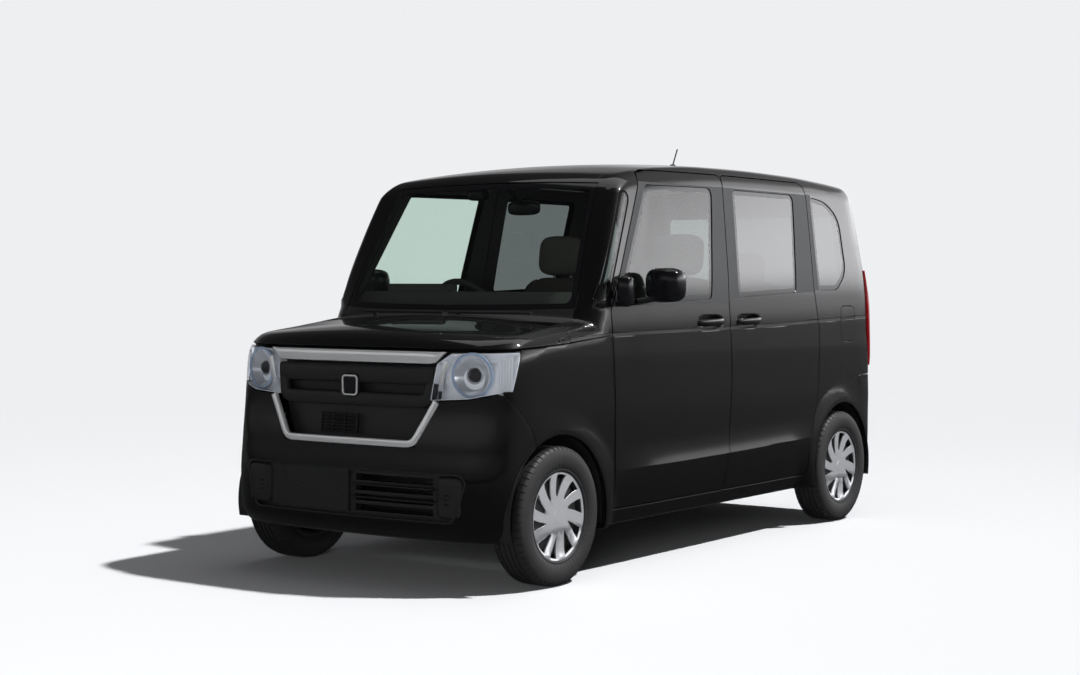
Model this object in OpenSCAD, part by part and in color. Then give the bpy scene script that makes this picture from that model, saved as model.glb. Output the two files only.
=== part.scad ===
// Kei car: a tall two-box city car with hinged front doors, sliding rear doors and a lifting tailgate.
// The front faces -Y, the car's left side is +X and the ground is z = 0.

/* [Overall] */
// Length over the bumpers
body_length = 3395; // [3000:5:4100]
// Width over the doors, without the mirrors
body_width = 1475; // [1380:5:1780]
// Height of the roof above the ground
body_height = 1790; // [1640:5:2150]
// Distance between the axles
wheelbase = 2520; // [2100:5:2560]
// Nose to the front axle
front_overhang = 466.5; // [450:0.5:560]
// Centre line of the pillar between the doors
centre_pillar_y = 123; // [60:1:200]
// Belt line at the bottom of the side windows
belt_height = 1130; // [1100:1:1200]

/* [Shell] */
// Thickness of a door or tailgate
door_thickness = 50; // [40:1:60]
// Thickness of a fender, bonnet or bumper
skin_thickness = 30; // [20:1:40]
// Depth of sills, pillars and roof rails
frame_depth = 100; // [90:1:120]
// Gap round a moving panel
shut_gap = 7; // [6:0.5:10]
// Thickness of the glass
glass_thickness = 5; // [3:0.5:8]
// How far the glass sits inside the outer face
glass_inset = 4; // [2:0.5:10]
// Running clearance at seals, hubs and pins
seat_gap = 0.3; // [0.2:0.1:0.8]

/* [Wheels] */
// Distance between the wheels' middle planes
track = 1305; // [1260:5:1320]
// Outer radius of a tyre
tyre_radius = 278.5; // [250:0.5:290]
// Width of a tyre
tyre_width = 155; // [135:5:165]
// Radius of the rim's bead seat
rim_radius = 177.5; // [165:0.5:180]
// Radius of a wheel arch
arch_radius = 325; // [320:1:335]
// Steering axis, measured in from the wheel's middle plane
kingpin_inset = 62.5; // [50:0.5:70]

/* [Interior] */
// Sideways place of each front seat
seat_x = 335; // [300:1:360]
// Radius of the steering wheel
steering_radius = 182; // [160:1:195]
// Rake of the steering column
column_angle = 28; // [20:1:40]

/* [Hidden] */
half = body_width / 2;
nose = -body_length / 2;
tail = body_length / 2;
roof = body_height;
belt = belt_height;
front_axle = nose + front_overhang;
rear_axle = front_axle + wheelbase;
wheel_x = track / 2;
far = 2400;
sill_bottom = 195;
inner_reach = half - frame_depth;
rail_x = inner_reach - 103;
door_bottom = 263;
bonnet_rear = front_axle + 96;
cowl_side_front = front_axle + 66;
bumper_top = 735;
hinge_y = front_axle + 367;
kingpin_x = wheel_x - kingpin_inset;
tailgate_hinge_y = tail - 185;
tailgate_hinge_z = roof - 44;
smooth = 96;

// Front view of the body side: columns are x, z and the outward direction.
section = [
    [half - 60, sill_bottom, 0.5, -0.86], [half - 10, 262, 0.95, -0.3], [half, 430, 1, 0],
    [half, 960, 1, 0], [half - 9, belt, 1, 0.08], [half - 81, roof - 150, 0.99, 0.14],
    [half - 103, roof - 90, 0.95, 0.3], [half - 125, roof - 58, 0.7, 0.7],
    [half - 185, roof - 34, 0.3, 0.95], [half - 340, roof - 12, 0.1, 1]
];
// Plan view of one half: columns are x, y and the outward direction.
plan_front = [
    [half, front_axle, 1, 0], [half - 7, nose + 290, 0.98, -0.1], [half - 37, nose + 190, 0.9, -0.4],
    [half - 97, nose + 105, 0.7, -0.7], [half - 177, nose + 52, 0.4, -0.9], [420, nose + 20, 0.1, -1],
    [250, nose + 4, 0, -1], [60, nose, 0, -1]
];
plan_rear = [
    [60, tail, 0, 1], [half - 190, tail - 4, 0.05, 1], [half - 110, tail - 14, 0.2, 0.98],
    [half - 60, tail - 34, 0.6, 0.8], [half - 25, tail - 74, 0.9, 0.4], [half - 6, tail - 140, 1, 0.1],
    [half, tail - 260, 1, 0]
];
// Side view: columns are y, z and the outward direction.
profile = [
    [nose + 62, sill_bottom, -0.5, -0.86], [nose, 262, -0.95, -0.3], [nose, 400, -1, 0],
    [nose + 14, 560, -1, 0], [nose + 30, 700, -1, 0.1], [nose + 42, 850, -1, 0.1],
    [nose + 56, 945, -0.9, 0.3], [nose + 76, 985, -0.6, 0.8], [nose + 120, 1008, -0.3, 0.95],
    [nose + 220, 1026, -0.1, 1], [front_axle - 60, 1046, -0.1, 1], [bonnet_rear, 1066, -0.1, 1],
    [front_axle + 146, 1080, -0.6, 0.8], [front_axle + 491, roof - 150, -0.85, 0.5],
    [front_axle + 541, roof - 110, -0.6, 0.8], [front_axle + 671, roof - 68, -0.3, 0.95],
    [front_axle + 980, roof - 26, -0.1, 1], [centre_pillar_y, roof - 5, 0, 1],
    [centre_pillar_y + 430, roof, 0, 1], [rear_axle - 340, roof - 6, 0, 1],
    [tail - 395, roof - 24, 0.05, 1], [tailgate_hinge_y, tailgate_hinge_z, 0.1, 1],
    [tail - 125, roof - 56, 0.5, 0.86], [tail - 95, roof - 90, 0.9, 0.4],
    [tail - 72, roof - 236, 1, 0.1], [tail - 32, belt + 146, 1, 0.12], [tail - 8, belt - 36, 1, 0.05],
    [tail - 8, 760, 1, 0], [tail, 600, 1, 0], [tail, 430, 1, 0], [tail - 25, 262, 0.95, -0.3],
    [tail - 80, sill_bottom, 0.5, -0.86]
];

// Shut lines and window outlines in side view: columns are y and z.
front_door_line = [
    [front_axle + 401, door_bottom], [front_axle + 397, 721], [front_axle + 370, 1093],
    [front_axle + 685, roof - 148], [front_axle + 727, roof - 109], [front_axle + 811, roof - 93],
    [centre_pillar_y + 54, roof - 87], [centre_pillar_y, 1125], [centre_pillar_y + 18, 764],
    [centre_pillar_y - 21, door_bottom]
];
rear_door_line = [
    [centre_pillar_y - 21, door_bottom], [centre_pillar_y + 18, 764], [centre_pillar_y, 1125],
    [centre_pillar_y + 54, roof - 87], [rear_axle - 340, roof - 85], [rear_axle - 300, roof - 105],
    [rear_axle - 281, roof - 154], [rear_axle - 308, belt + 40], [rear_axle - 263, 978],
    [rear_axle - 271, 727], [rear_axle - 290, 600], [rear_axle - 334, 500], [rear_axle - 362, 400],
    [rear_axle - 384, door_bottom]
];
front_glass_line = [
    [front_axle + 431, belt - 12], [front_axle + 737, roof - 170], [centre_pillar_y - 62, roof - 161],
    [centre_pillar_y - 161, belt + 12]
];
rear_glass_line = [
    [centre_pillar_y + 102, belt + 20], [centre_pillar_y + 146, roof - 161],
    [rear_axle - 432, roof - 160], [rear_axle - 504, belt + 40]
];
quarter_glass_line = [
    [rear_axle - 250, belt + 45], [rear_axle - 235, roof - 158], [rear_axle - 66, roof - 176],
    [rear_axle + 62, roof - 254], [rear_axle + 78, belt + 134], [rear_axle - 42, belt + 48]
];
corner_glass_line = [
    [front_axle + 296, belt - 2], [front_axle + 347, belt - 2], [front_axle + 585, roof - 230],
    [front_axle + 570, roof - 200], [front_axle + 531, roof - 200]
];
fender_line = [
    [nose + 192, 943], [nose + 144, 775], [front_axle - 186, 627], [front_axle - 186, 100],
    [front_axle + 315, 100], [front_axle + 315, 206], [front_axle + 401 - shut_gap, 206],
    [front_axle + 401 - shut_gap, door_bottom], [front_axle + 397 - shut_gap, 721],
    [front_axle + 370 - shut_gap, 988], [cowl_side_front, 957], [cowl_side_front, 950]
];
// Outlines in front view of the right-hand half, mirrored by both(): columns are x and z.
lamp_line = [[473, 937], [413, 892], [391, 742], [half + 20, 775], [half + 20, 943]];
tailgate_line = [
    [0, 560], [575, 560], [half - 128, 735], [half - 122, belt + 146], [half - 165, roof - 236],
    [half - 195, roof - 90], [rail_x, roof - 60], [rail_x, roof + 20], [0, roof + 20]
];
rear_glass_outline = [[0, belt + 20], [half - 205, belt + 20], [half - 235, roof - 225], [0, roof - 225]];

function spot(rows, inset) = [for (r = rows) [r[0] - inset * r[2], r[1] - inset * r[3]]];
function flipped(points) = [for (i = [len(points) - 1:-1:0]) [-points[i][0], points[i][1]]];

module from_side(outline, x0 = -far / 2, x1 = far / 2) {
    translate([x0, 0, 0]) rotate([90, 0, 90]) linear_extrude(x1 - x0) polygon(outline);
}
module from_side_grown(outline, grow) {
    translate([-far / 2, 0, 0]) rotate([90, 0, 90]) linear_extrude(far) offset(delta = grow) polygon(outline);
}
module from_front(outline, y0 = -far, y1 = far) {
    translate([0, y1, 0]) rotate([90, 0, 0]) linear_extrude(y1 - y0) polygon(outline);
}
module from_above(outline, z0 = 0, z1 = far) {
    translate([0, 0, z0]) linear_extrude(z1 - z0) polygon(outline);
}
module both() {
    children();
    mirror([1, 0, 0]) children();
}
module block(low, high) {
    translate(low) cube(high - low);
}
module rod_x(x0, x1, y, z, r) {
    translate([x0, y, z]) rotate([0, 90, 0]) cylinder(h = x1 - x0, r = r, $fn = smooth);
}

// The body's outer form, or the same form set in by an even thickness.
module envelope(inset = 0) {
    side = spot(section, inset);
    front_half = spot(plan_front, inset);
    rear_half = spot(plan_rear, inset);
    intersection() {
        from_front(concat(side, [[0, roof - inset]], flipped(side)));
        from_side(spot(profile, inset));
        from_above(concat(front_half, flipped(front_half), flipped(rear_half), rear_half));
    }
}
// A skin of the body between two depths below its outer face.
module skin(outer, inner) {
    difference() {
        envelope(outer);
        envelope(inner);
    }
}
// A band that follows the left side of the body, between two depths.
module side_band(outer, inner) {
    from_front([for (r = concat([for (s = section) [s[0] - outer, s[1]]],
        [for (i = [len(section) - 1:-1:0]) [section[i][0] - inner, section[i][1]]])) r]);
}
// The room inside the sills, pillars and roof rails.
module cabin_room() {
    inner = [
        [inner_reach - 60, 0], [inner_reach - 60, sill_bottom], [inner_reach - 10, 262], [inner_reach, 430],
        [inner_reach, 960], [inner_reach - 9, belt], [inner_reach - 81, roof - 150],
        [rail_x, roof - 90], [rail_x, roof + 50]
    ];
    from_front(concat(inner, flipped(inner)));
}
module wheel_cut(y, r) {
    rod_x(-far, far, y, tyre_radius, r);
}

// Everything behind the fenders, less what the movable and bolted panels fill; built on the left side.
module body_side(with_fuel_port) {
    difference() {
        intersection() {
            envelope(0);
            from_side([
                [front_axle + 315, sill_bottom - 5], [front_axle + 315, 206],
                [front_axle + 401 - shut_gap, 206], [front_axle + 401 - shut_gap, door_bottom],
                [front_axle + 397 - shut_gap, 721], [front_axle + 370 - shut_gap, 988],
                [cowl_side_front, 957], [cowl_side_front, 1040 - shut_gap], [bonnet_rear + shut_gap, 1040 - shut_gap],
                [front_axle + 222, 1085], [front_axle + 508, roof - 150], [front_axle + 531, roof + 10],
                [tail + 10, roof + 10], [tail + 10, bumper_top], [rear_axle + 200, bumper_top],
                [rear_axle + 200, 300], [rear_axle - 384, 300], [rear_axle - 384, sill_bottom - 5]
            ], 0, far / 2);
        }
        cabin_room();
        wheel_cut(rear_axle, arch_radius);
        side_hole(front_door_line, shut_gap);
        side_hole(rear_door_line, 0.1);
        side_hole(corner_glass_line, 0);
        side_hole(quarter_glass_line, 0);
        if (with_fuel_port) fuel_port(shut_gap + 2);
        tailgate_region(shut_gap);
        block([0, tailgate_hinge_y + 12, roof - 270], [half - 158, far, far]);
        tail_lamp_region();
    }
}
// A side-view outline, grown by a gap and cut through the left side.
module side_hole(outline, grow) {
    translate([half - 300, 0, 0]) rotate([90, 0, 90]) linear_extrude(400)
        offset(delta = grow) polygon(outline);
}
// A pillar just inside the doors, with its seal reaching the door's inner face.
module pillar_inner(y0, y1, z1) {
    intersection() {
        union() {
            side_band(door_thickness + 7, frame_depth);
            intersection() {
                side_band(door_thickness + seat_gap, frame_depth);
                block([0, y0 + 20, 330], [far, y1 - 20, 1000]);
            }
        }
        block([0, y0, sill_bottom + 20], [far, y1, z1]);
    }
}
module tailgate_region(grow) {
    full = concat(tailgate_line, flipped(tailgate_line));
    translate([0, far, 0]) rotate([90, 0, 0]) linear_extrude(far - tailgate_hinge_y + grow)
        offset(delta = grow) polygon(full);
}
module tail_lamp_region() {
    intersection() {
        block([half - 118, tail - 150, 779], [half + 30, tail + 20, belt + 146]);
        from_side([
            [tail - 92, belt + 146], [tail + 20, belt + 146], [tail + 20, 779], [tail - 55, 779],
            [tail - 100, 960], [tail - 100, belt - 20]
        ]);
    }
}
module fuel_port(grow) {
    translate([half - 300, rear_axle + 66, 1002]) rotate([90, 0, 90]) linear_extrude(400)
        offset(r = 45 + grow, $fn = 48) square([165 - 90, 179 - 90], center = true);
}
cowl_line = [
    [front_axle + 128, 960], [front_axle + 300, 960], [front_axle + 300, 1060], [front_axle + 150, 1040],
    [front_axle + 128, 1030]
];
module cowl() {
    intersection() {
        union() {
            from_side(cowl_line);
            from_side([[front_axle + 276, 420], [front_axle + 300, 420], [front_axle + 300, 960],
                [front_axle + 276, 960]]);
        }
        difference() {
            cabin_room();
            both() rod_x(396, far, front_axle, tyre_radius, arch_radius + 18);
        }
    }
}
// Rear header under the roof, rear sill and the lip that the tailgate closes on.
module tailgate_frame() {
    intersection() {
        union() {
            block([-far, tail - 160, 470], [far, tail - 70, 560 - shut_gap]);
            intersection() {
                block([-far, tailgate_hinge_y - 80, roof - 100], [far, tailgate_hinge_y - shut_gap, roof]);
                envelope(skin_thickness);
            }
        }
        cabin_room();
        difference() {
            block([-far, 0, 0], [far, tail, roof]);
            both() rod_x(530, far, rear_axle, tyre_radius, arch_radius + 8);
        }
    }
    block([-60, tail - 80, 500], [60, tail - door_thickness - seat_gap, 590]);
}
module body_shell() {
    color("#141416") {
        body_side(true);
        mirror([1, 0, 0]) body_side(false);
        both() pillar_inner(centre_pillar_y - 40, centre_pillar_y + 75, roof - 70);
        both() pillar_inner(hinge_y + 4, hinge_y + 64, belt - 40);
        cowl();
        tailgate_frame();
        intersection() {
            side_band(14 + seat_gap, 34);
            fuel_port(shut_gap + 2);
        }
        both() block([half - 130, front_axle + 480, sill_bottom - 5], [half - 70, front_axle + 540, sill_bottom + 5]);
        both() block([half - 130, rear_axle - 500, sill_bottom - 5], [half - 70, rear_axle - 440, sill_bottom + 5]);
    }
}
module roof_panel() {
    color("#141416") intersection() {
        skin(0, skin_thickness);
        block([-rail_x, front_axle + 400, roof - 150], [rail_x, tailgate_hinge_y - shut_gap, roof + 10]);
    }
}
module floor_pan() {
    line = [
        [front_axle + 300, 520], [front_axle + 430, 262], [front_axle + 890, 262], [front_axle + 950, 380],
        [front_axle + 1480, 380], [front_axle + 1530, 275], [rear_axle - 420, 275], [rear_axle - 270, 490],
        [tail - 160, 490]
    ];
    color("#2a2a2c") difference() {
        intersection() {
            from_side(concat(line, [for (i = [len(line) - 1:-1:0]) line[i] - [0, 22]]));
            cabin_room();
        }
        both() block([535, rear_axle - 360, 0], [far, tail, 900]);
        both() rod_x(396, far, front_axle, tyre_radius, arch_radius + 18);
    }
}
module wheelhouse(y, inner_x, outer_x, r, hole, base) {
    intersection() {
        difference() {
            rod_x(inner_x, outer_x, y, tyre_radius, r);
            rod_x(inner_x + 6, far, y, tyre_radius, r - 6);
            rod_x(-far, far, y, tyre_radius, hole);
        }
        block([0, y - r, base], [far, y + r, far]);
    }
}
module wheelhouses() {
    color("#101010") both() {
        difference() {
            intersection() {
                wheelhouse(front_axle, 396, half, arch_radius + 18, 215, 330);
                envelope(skin_thickness);
            }
            block([440, front_axle - 75, 500], [585, front_axle + 75, 900]);
        }
        intersection() {
            wheelhouse(rear_axle, 536, half, arch_radius + 8, 60, 262);
            cabin_room();
        }
    }
}
module front_frame() {
    color("#1b1b1d") {
        both() {
            block([330, nose + 160, 400], [388, front_axle + 276, 480]);
            block([330, front_axle - 150, 330], [388, front_axle - 90, 400]);
            block([380, front_axle - 80, 480], [388, front_axle + 80, 900]);
            block([380, front_axle - 80, 900], [590, front_axle + 80, 925]);
        }
        difference() {
            block([-388, nose + 125, 300], [388, nose + 160, 900]);
            block([-320, nose + 100, 360], [320, nose + 170, 520]);
            block([-320, nose + 100, 560], [320, nose + 170, 700]);
        }
        block([-60, nose + 125, 900], [60, nose + 160, 976.8]);
    }
}
module front_fenders() {
    color("#141416") both() difference() {
        intersection() {
            skin(0, skin_thickness);
            from_side(fender_line, 0, far);
        }
        wheel_cut(front_axle, arch_radius);
        block([0, -far, 0], [half - 45, far, 500]);
        from_side([[nose - 10, 775], [nose + 144, 775], [nose + 192, 943], [nose + 192, 990], [nose - 10, 990]]);
    }
}
module front_half(outline) {
    from_front(concat(outline, flipped(outline)), -far, front_axle);
}
chrome_line = [[339, 562], [439, 742], [413, 742], [322, 590]];
recess_line = [[511, 277], [570, 466]];
module front_bumper() {
    color("#141416") difference() {
        intersection() {
            skin(0, skin_thickness);
            from_side([[nose - 10, 100], [front_axle - 186, 100], [front_axle - 186, 627], [nose + 144, 775],
                [nose - 10, 775]]);
        }
        wheel_cut(front_axle, arch_radius);
        front_half([[339, 562], [439, 742], [439, 900]]);
        front_half(recess_line);
        both() front_half(lamp_line);
        block([-439, nose - 10, 742], [439, front_axle, 900]);
    }
}
module grille_trim() {
    color("#d8dadd") difference() {
        intersection() {
            skin(0, 24);
            union() {
                front_half([[403, 887], [450, 935]]);
                both() from_front([[0, 562], [339, 562], [439, 742], [413, 742], [322, 590], [0, 590]], -far, front_axle);
            }
        }
        both() front_half(lamp_line);
    }
}
module grille() {
    color("#1c1c1e") difference() {
        intersection() {
            skin(12, 70);
            front_half([[322, 590], [400, 742], [403, 887]]);
        }
        block([-330, nose - 10, 762], [330, nose + 200, 790]);
        for (row = [0:4]) block([-150, nose - 10, 612 + row * 17], [150, nose + 200, 620 + row * 17]);
        both() front_half(lamp_line);
    }
}
module lower_grille() {
    color("#171718") difference() {
        union() {
            intersection() {
                skin(22, 60);
                front_half(recess_line);
            }
            block([-319, nose + 12, 293], [11, nose + 60, 461]);
        }
        for (row = [0:3]) block([40, nose - 10, 300 + row * 40], [420, nose + 200, 326 + row * 40]);
        for (x = [-105, 105]) translate([plate_x + x, nose + 40, 377]) rotate([90, 0, 0]) cylinder(h = 60, r = 3, $fn = smooth);
    }
}
plate_x = -154;
module headlamps() {
    color("#c8d0d8") both() intersection() {
        skin(0, 70);
        front_half_left(lamp_line);
        from_side([[nose - 10, 700], [nose + 137, 742], [nose + 144, 775], [nose + 192, 943], [nose - 10, 950]]);
    }
}
module front_half_left(outline) {
    from_front(outline, -far, front_axle);
}
module bonnet_region(grow) {
    from_side([[nose - 10, 943 + grow], [nose + 192, 943 + grow], [cowl_side_front - grow, 957 + grow],
        [cowl_side_front - grow, 1040], [bonnet_rear, 1040], [bonnet_rear, roof], [nose - 10, roof]]);
}
module bonnet() {
    color("#141416") intersection() {
        skin(0, skin_thickness);
        bonnet_region(shut_gap);
    }
}
module windscreen() {
    rake = atan2(345, roof - 1230);
    sweep = 2300;
    color("#9fb7b0", 0.5) intersection() {
        translate([0, front_axle + 146, 1066]) rotate([-rake, 0, 0]) translate([0, sweep, -60])
            difference() {
                cylinder(h = 900, r = sweep, $fn = smooth * 4);
                translate([0, 0, -1]) cylinder(h = 902, r = sweep - glass_thickness, $fn = smooth * 4);
            }
        cabin_room();
        block([-far, front_axle, 1062], [far, front_axle + 700, roof - 150]);
    }
}
module pane(outline, name_colour) {
    color(name_colour, 0.6) intersection() {
        side_band(glass_inset, glass_inset + glass_thickness);
        from_side(outline, half - 300, half + 50);
    }
}
module corner_windows() { both() pane(corner_glass_line, "#8aa59c"); }
module quarter_windows() { both() pane(quarter_glass_line, "#23282a"); }
module rear_door_windows() { both() pane(rear_glass_line, "#23282a"); }
module front_window_left() { pane(front_glass_line, "#8aa59c"); }
module front_window_right() { mirror([1, 0, 0]) pane(front_glass_line, "#8aa59c"); }
handle_z = 1030;
front_handle_y = centre_pillar_y - 175;
rear_handle_y = centre_pillar_y + 178;
// The bowl behind a door handle.
module handle_bowl(y) {
    translate([half - 14, y, handle_z]) rotate([90, 0, 90]) linear_extrude(60)
        offset(r = 30, $fn = 48) square([170, 20], center = true);
}
module handle(y) {
    color("#1a1a1c") {
        translate([half - 8, y, handle_z]) rotate([90, 0, 90]) linear_extrude(14)
            offset(r = 13, $fn = 48) square([188, 2], center = true);
        for (side = [-1, 1]) block([half - 14, y + side * 88 - 9, handle_z - 9], [half - 8, y + side * 88 + 9, handle_z + 9]);
    }
}
module door(outline, glass, handle_y) {
    color("#141416") difference() {
        intersection() {
            side_band(0, door_thickness);
            from_side(outline, 0, far);
        }
        from_side(glass, 0, far);
        handle_bowl(handle_y);
    }
}
module front_door_left() { door(front_door_line, front_glass_line, front_handle_y); }
module front_door_right() { mirror([1, 0, 0]) front_door_left(); }
module rear_door_left() {
    difference() {
        door(rear_door_line, rear_glass_line, rear_handle_y);
        translate([0, shut_gap, 0]) front_half_door_clear();
    }
}
// The space that the front door's rear edge needs.
module front_half_door_clear() {
    from_side(concat([for (i = [6:9]) front_door_line[i]], [[centre_pillar_y - 200, door_bottom - 5],
        [centre_pillar_y - 200, roof]]), 0, far);
}
module rear_door_right() { mirror([1, 0, 0]) rear_door_left(); }
module front_handle_left() { handle(front_handle_y); }
module front_handle_right() { mirror([1, 0, 0]) handle(front_handle_y); }
module rear_door_handles() { both() handle(rear_handle_y); }
mirror_x = half + 88;
mirror_y = front_axle + 656;
mirror_z = belt + 66;
module mirror_unit(with_pod) {
    color("#111111") {
        intersection() {
            side_band(-10, 0);
            from_side([[front_axle + 400, belt - 55], [front_axle + 400, belt - 20], [front_axle + 440, belt + 10],
                [front_axle + 640, belt + 2], [front_axle + 640, belt - 40]], 0, far);
        }
        block([half - 6, mirror_y - 30, belt - 40], [mirror_x + 20, mirror_y + 26, belt]);
        intersection() {
            translate([mirror_x, mirror_y - 65, mirror_z]) rotate([-90, 0, 0]) linear_extrude(130)
                offset(r = 45, $fn = 48) square([54, 56], center = true);
            translate([mirror_x, mirror_y, mirror_z - 80]) linear_extrude(160)
                offset(r = 50, $fn = 48) square([44, 30], center = true);
        }
        if (with_pod) {
            block([half - 6, front_axle + 400, belt - 30], [half + 20, mirror_y - 20, belt - 8]);
            translate([half + 30, front_axle + 412, belt + 40]) rotate([-90, 0, 0]) translate([0, 0, -38])
                linear_extrude(76) offset(r = 33, $fn = 48) square([4, 66], center = true);
        }
    }
}
module mirror_left() { mirror_unit(true); }
module mirror_right() { mirror([1, 0, 0]) mirror_unit(false); }
module fuel_lid() {
    color("#141416") intersection() {
        side_band(0, 14);
        fuel_port(0);
        block([0, 0, 0], [far, tail, roof]);
    }
}
module tailgate() {
    color("#141416") difference() {
        intersection() {
            skin(0, door_thickness);
            tailgate_region(0);
        }
        rear_glass_hole();
        for (x = [-105, 105]) translate([x, tail + 5, 900]) rotate([90, 0, 0]) cylinder(h = 30, r = 3, $fn = smooth);
    }
}
module rear_glass_hole() {
    from_front(concat(rear_glass_outline, flipped(rear_glass_outline)), tailgate_hinge_y + 30, far);
}
module tailgate_window() {
    color("#23282a", 0.6) intersection() {
        skin(glass_inset, glass_inset + glass_thickness);
        rear_glass_hole();
    }
}
module tail_lamps() {
    color("#8c1218") both() intersection() {
        skin(0, 60);
        tail_lamp_region();
    }
}
module rear_bumper() {
    color("#141416") difference() {
        intersection() {
            skin(0, skin_thickness);
            block([-far, rear_axle + 200, 100], [far, far, bumper_top]);
        }
        wheel_cut(rear_axle, arch_radius);
        tailgate_region(shut_gap);
    }
}
module wipers() {
    color("#0c0c0c") for (x = [-400, 60]) difference() {
        union() {
            rod_x(x, x + 430, front_axle + 128, 1080, 6);
            block([x + 40, front_axle + 130, 1020], [x + 60, front_axle + 140, 1080]);
        }
        from_side(cowl_line);
    }
}
module rear_wiper() {
    color("#0c0c0c") difference() {
        union() {
            rod_x(-20, 300, tail - 8, belt + 60, 6);
            block([-20, tail - 40, belt + 46], [10, tail - 4, belt + 66]);
        }
        envelope(glass_inset);
    }
}
antenna_y = centre_pillar_y + 690;
module antenna() {
    color("#0c0c0c") difference() {
        union() {
            translate([0, antenna_y, roof - 6]) cylinder(h = 26, r1 = 24, r2 = 12, $fn = 48);
            translate([0, antenna_y, roof + 15]) rotate([-28, 0, 0]) cylinder(h = 95, r = 3.5, $fn = 48);
        }
        envelope(0);
    }
}
module dashboard() {
    color("#2b2e30") {
        intersection() {
            from_side([[front_axle + 300, 700], [front_axle + 300, 1070], [front_axle + 380, 1165],
                [front_axle + 560, 1165], [front_axle + 590, 1120], [front_axle + 560, 980], [front_axle + 500, 700]]);
            cabin_room();
        }
        block([-steering_x - 150, front_axle + 400, 1165], [-steering_x + 150, front_axle + 520, 1200]);
        steering_frame() translate([0, 0, -330]) cylinder(h = 330 - 40 - seat_gap, r = 34, $fn = smooth);
    }
}
steering_x = 350;
steering_y = front_axle + 790;
steering_z = 1062;
// The steering wheel's own frame: local z is the column's axis, towards the driver.
module steering_frame() {
    translate([-steering_x, steering_y, steering_z]) rotate([column_angle - 90, 0, 0]) rotate([0, 0, 180]) children();
}
module steering_wheel() {
    color("#1d1f20") steering_frame() {
        rotate_extrude($fn = smooth) translate([steering_radius - 15, 0]) circle(r = 15, $fn = 32);
        translate([0, 0, -40]) cylinder(h = 55, r = 62, $fn = smooth);
        for (a = [0, 180, 270]) rotate([0, 0, a]) block([40, -16, -14], [steering_radius - 15, 16, 4]);
    }
}
// A seat from its side profile, with rounded corners; the columns are y and z.
module seat_slab(outline, x0, x1) {
    translate([x0, 0, 0]) rotate([90, 0, 90]) linear_extrude(x1 - x0) offset(r = 22, $fn = 32) polygon(outline);
}
cushion_y = front_axle + 960;
module front_seats() {
    color("#3a3d3f") for (x = [-seat_x, seat_x]) {
        block([x - 190, cushion_y + 30, 380], [x + 190, cushion_y + 470, 500]);
        seat_slab([[cushion_y, 520], [cushion_y + 480, 500], [cushion_y + 500, 620], [cushion_y, 650]], x - 245, x + 245);
        seat_slab([[cushion_y + 440, 640], [cushion_y + 510, 620], [cushion_y + 620, 1200], [cushion_y + 560, 1210]],
            x - 235, x + 235);
        seat_slab([[cushion_y + 535, 1265], [cushion_y + 580, 1260], [cushion_y + 600, 1415], [cushion_y + 560, 1415]],
            x - 110, x + 110);
        for (rod = [-50, 50]) translate([x + rod, cushion_y + 592, 1200]) cylinder(h = 80, r = 6, $fn = 32);
    }
}
bench_y = rear_axle - 760;
module rear_seat() {
    color("#3a3d3f") {
        block([-500, bench_y + 60, 275], [500, bench_y + 300, 436]);
        seat_slab([[bench_y, 450], [bench_y + 380, 442], [bench_y + 400, 600], [bench_y, 620]], -520, 520);
        seat_slab([[bench_y + 400, 640], [bench_y + 450, 640], [bench_y + 560, 1180], [bench_y + 510, 1190]], -520, 520);
        for (x = [-280, 280]) {
            seat_slab([[bench_y + 510, 1245], [bench_y + 545, 1240], [bench_y + 560, 1340], [bench_y + 530, 1340]],
                x - 110, x + 110);
            for (rod = [-40, 40]) translate([x + rod, bench_y + 540, 1180]) cylinder(h = 80, r = 6, $fn = 32);
        }
    }
}
module engine() {
    color("#6f7275") block([-300, front_axle - 130, 330], [300, front_axle + 200, 820]);
}
module fuel_tank() {
    color("#26282a") block([-380, front_axle + 960, 190], [380, front_axle + 1460, 358]);
}
module tube_run(points, r) {
    for (i = [0:len(points) - 2]) {
        run = points[i + 1] - points[i];
        translate(points[i]) rotate([0, acos(run[2] / norm(run)), atan2(run[1], run[0])])
            cylinder(h = norm(run), r = r, $fn = 32);
        if (i > 0) translate(points[i]) sphere(r = r + 0.6, $fn = 32);
    }
}
module exhaust() {
    color("#8b8d8e") {
        tube_run([[430, front_axle + 420, 200], [430, rear_axle - 420, 200], [330, rear_axle - 200, 330],
            [330, rear_axle + 120, 330]], 20);
        block([100, rear_axle + 110, 250], [400, tail - 110, 380]);
        block([415, front_axle + 1200, 215], [445, front_axle + 1230, 258]);
        block([230, rear_axle + 180, 375], [260, rear_axle + 210, 468]);
        tube_run([[130, tail - 120, 300], [130, tail - 75, 300]], 20);
    }
}
module front_suspension() {
    color("#303234") {
        block([-386, front_axle - 160, 222], [386, front_axle + 190, 330]);
        both() {
            block([380, front_axle - 30, 222], [kingpin_x, front_axle + 30, 234]);
            translate([kingpin_x, front_axle, 222]) cylinder(h = 18, r = 30, $fn = smooth);
            tube_run([[525, front_axle, 380], [505, front_axle, 899]], 24);
            tube_run([[511, front_axle, 660], [505, front_axle, 850]], 58);
        }
    }
}
module knuckle() {
    color("#4a4d50") {
        translate([kingpin_x, front_axle, 240 + seat_gap]) cylinder(h = 130, r = 24, $fn = smooth);
        rod_x(kingpin_x - 10, wheel_x - 13, front_axle, tyre_radius, 30);
        block([kingpin_x - 10, front_axle - 30, tyre_radius + 20], [kingpin_x + 24, front_axle + 30, tyre_radius + 128]);
        difference() {
            block([kingpin_x + 14, front_axle - 45, tyre_radius + 88], [wheel_x + 14, front_axle + 45, tyre_radius + 140]);
            rod_x(wheel_x - 24, wheel_x + 4, front_axle, tyre_radius, 123);
        }
    }
}
module knuckle_left() { knuckle(); }
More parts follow.
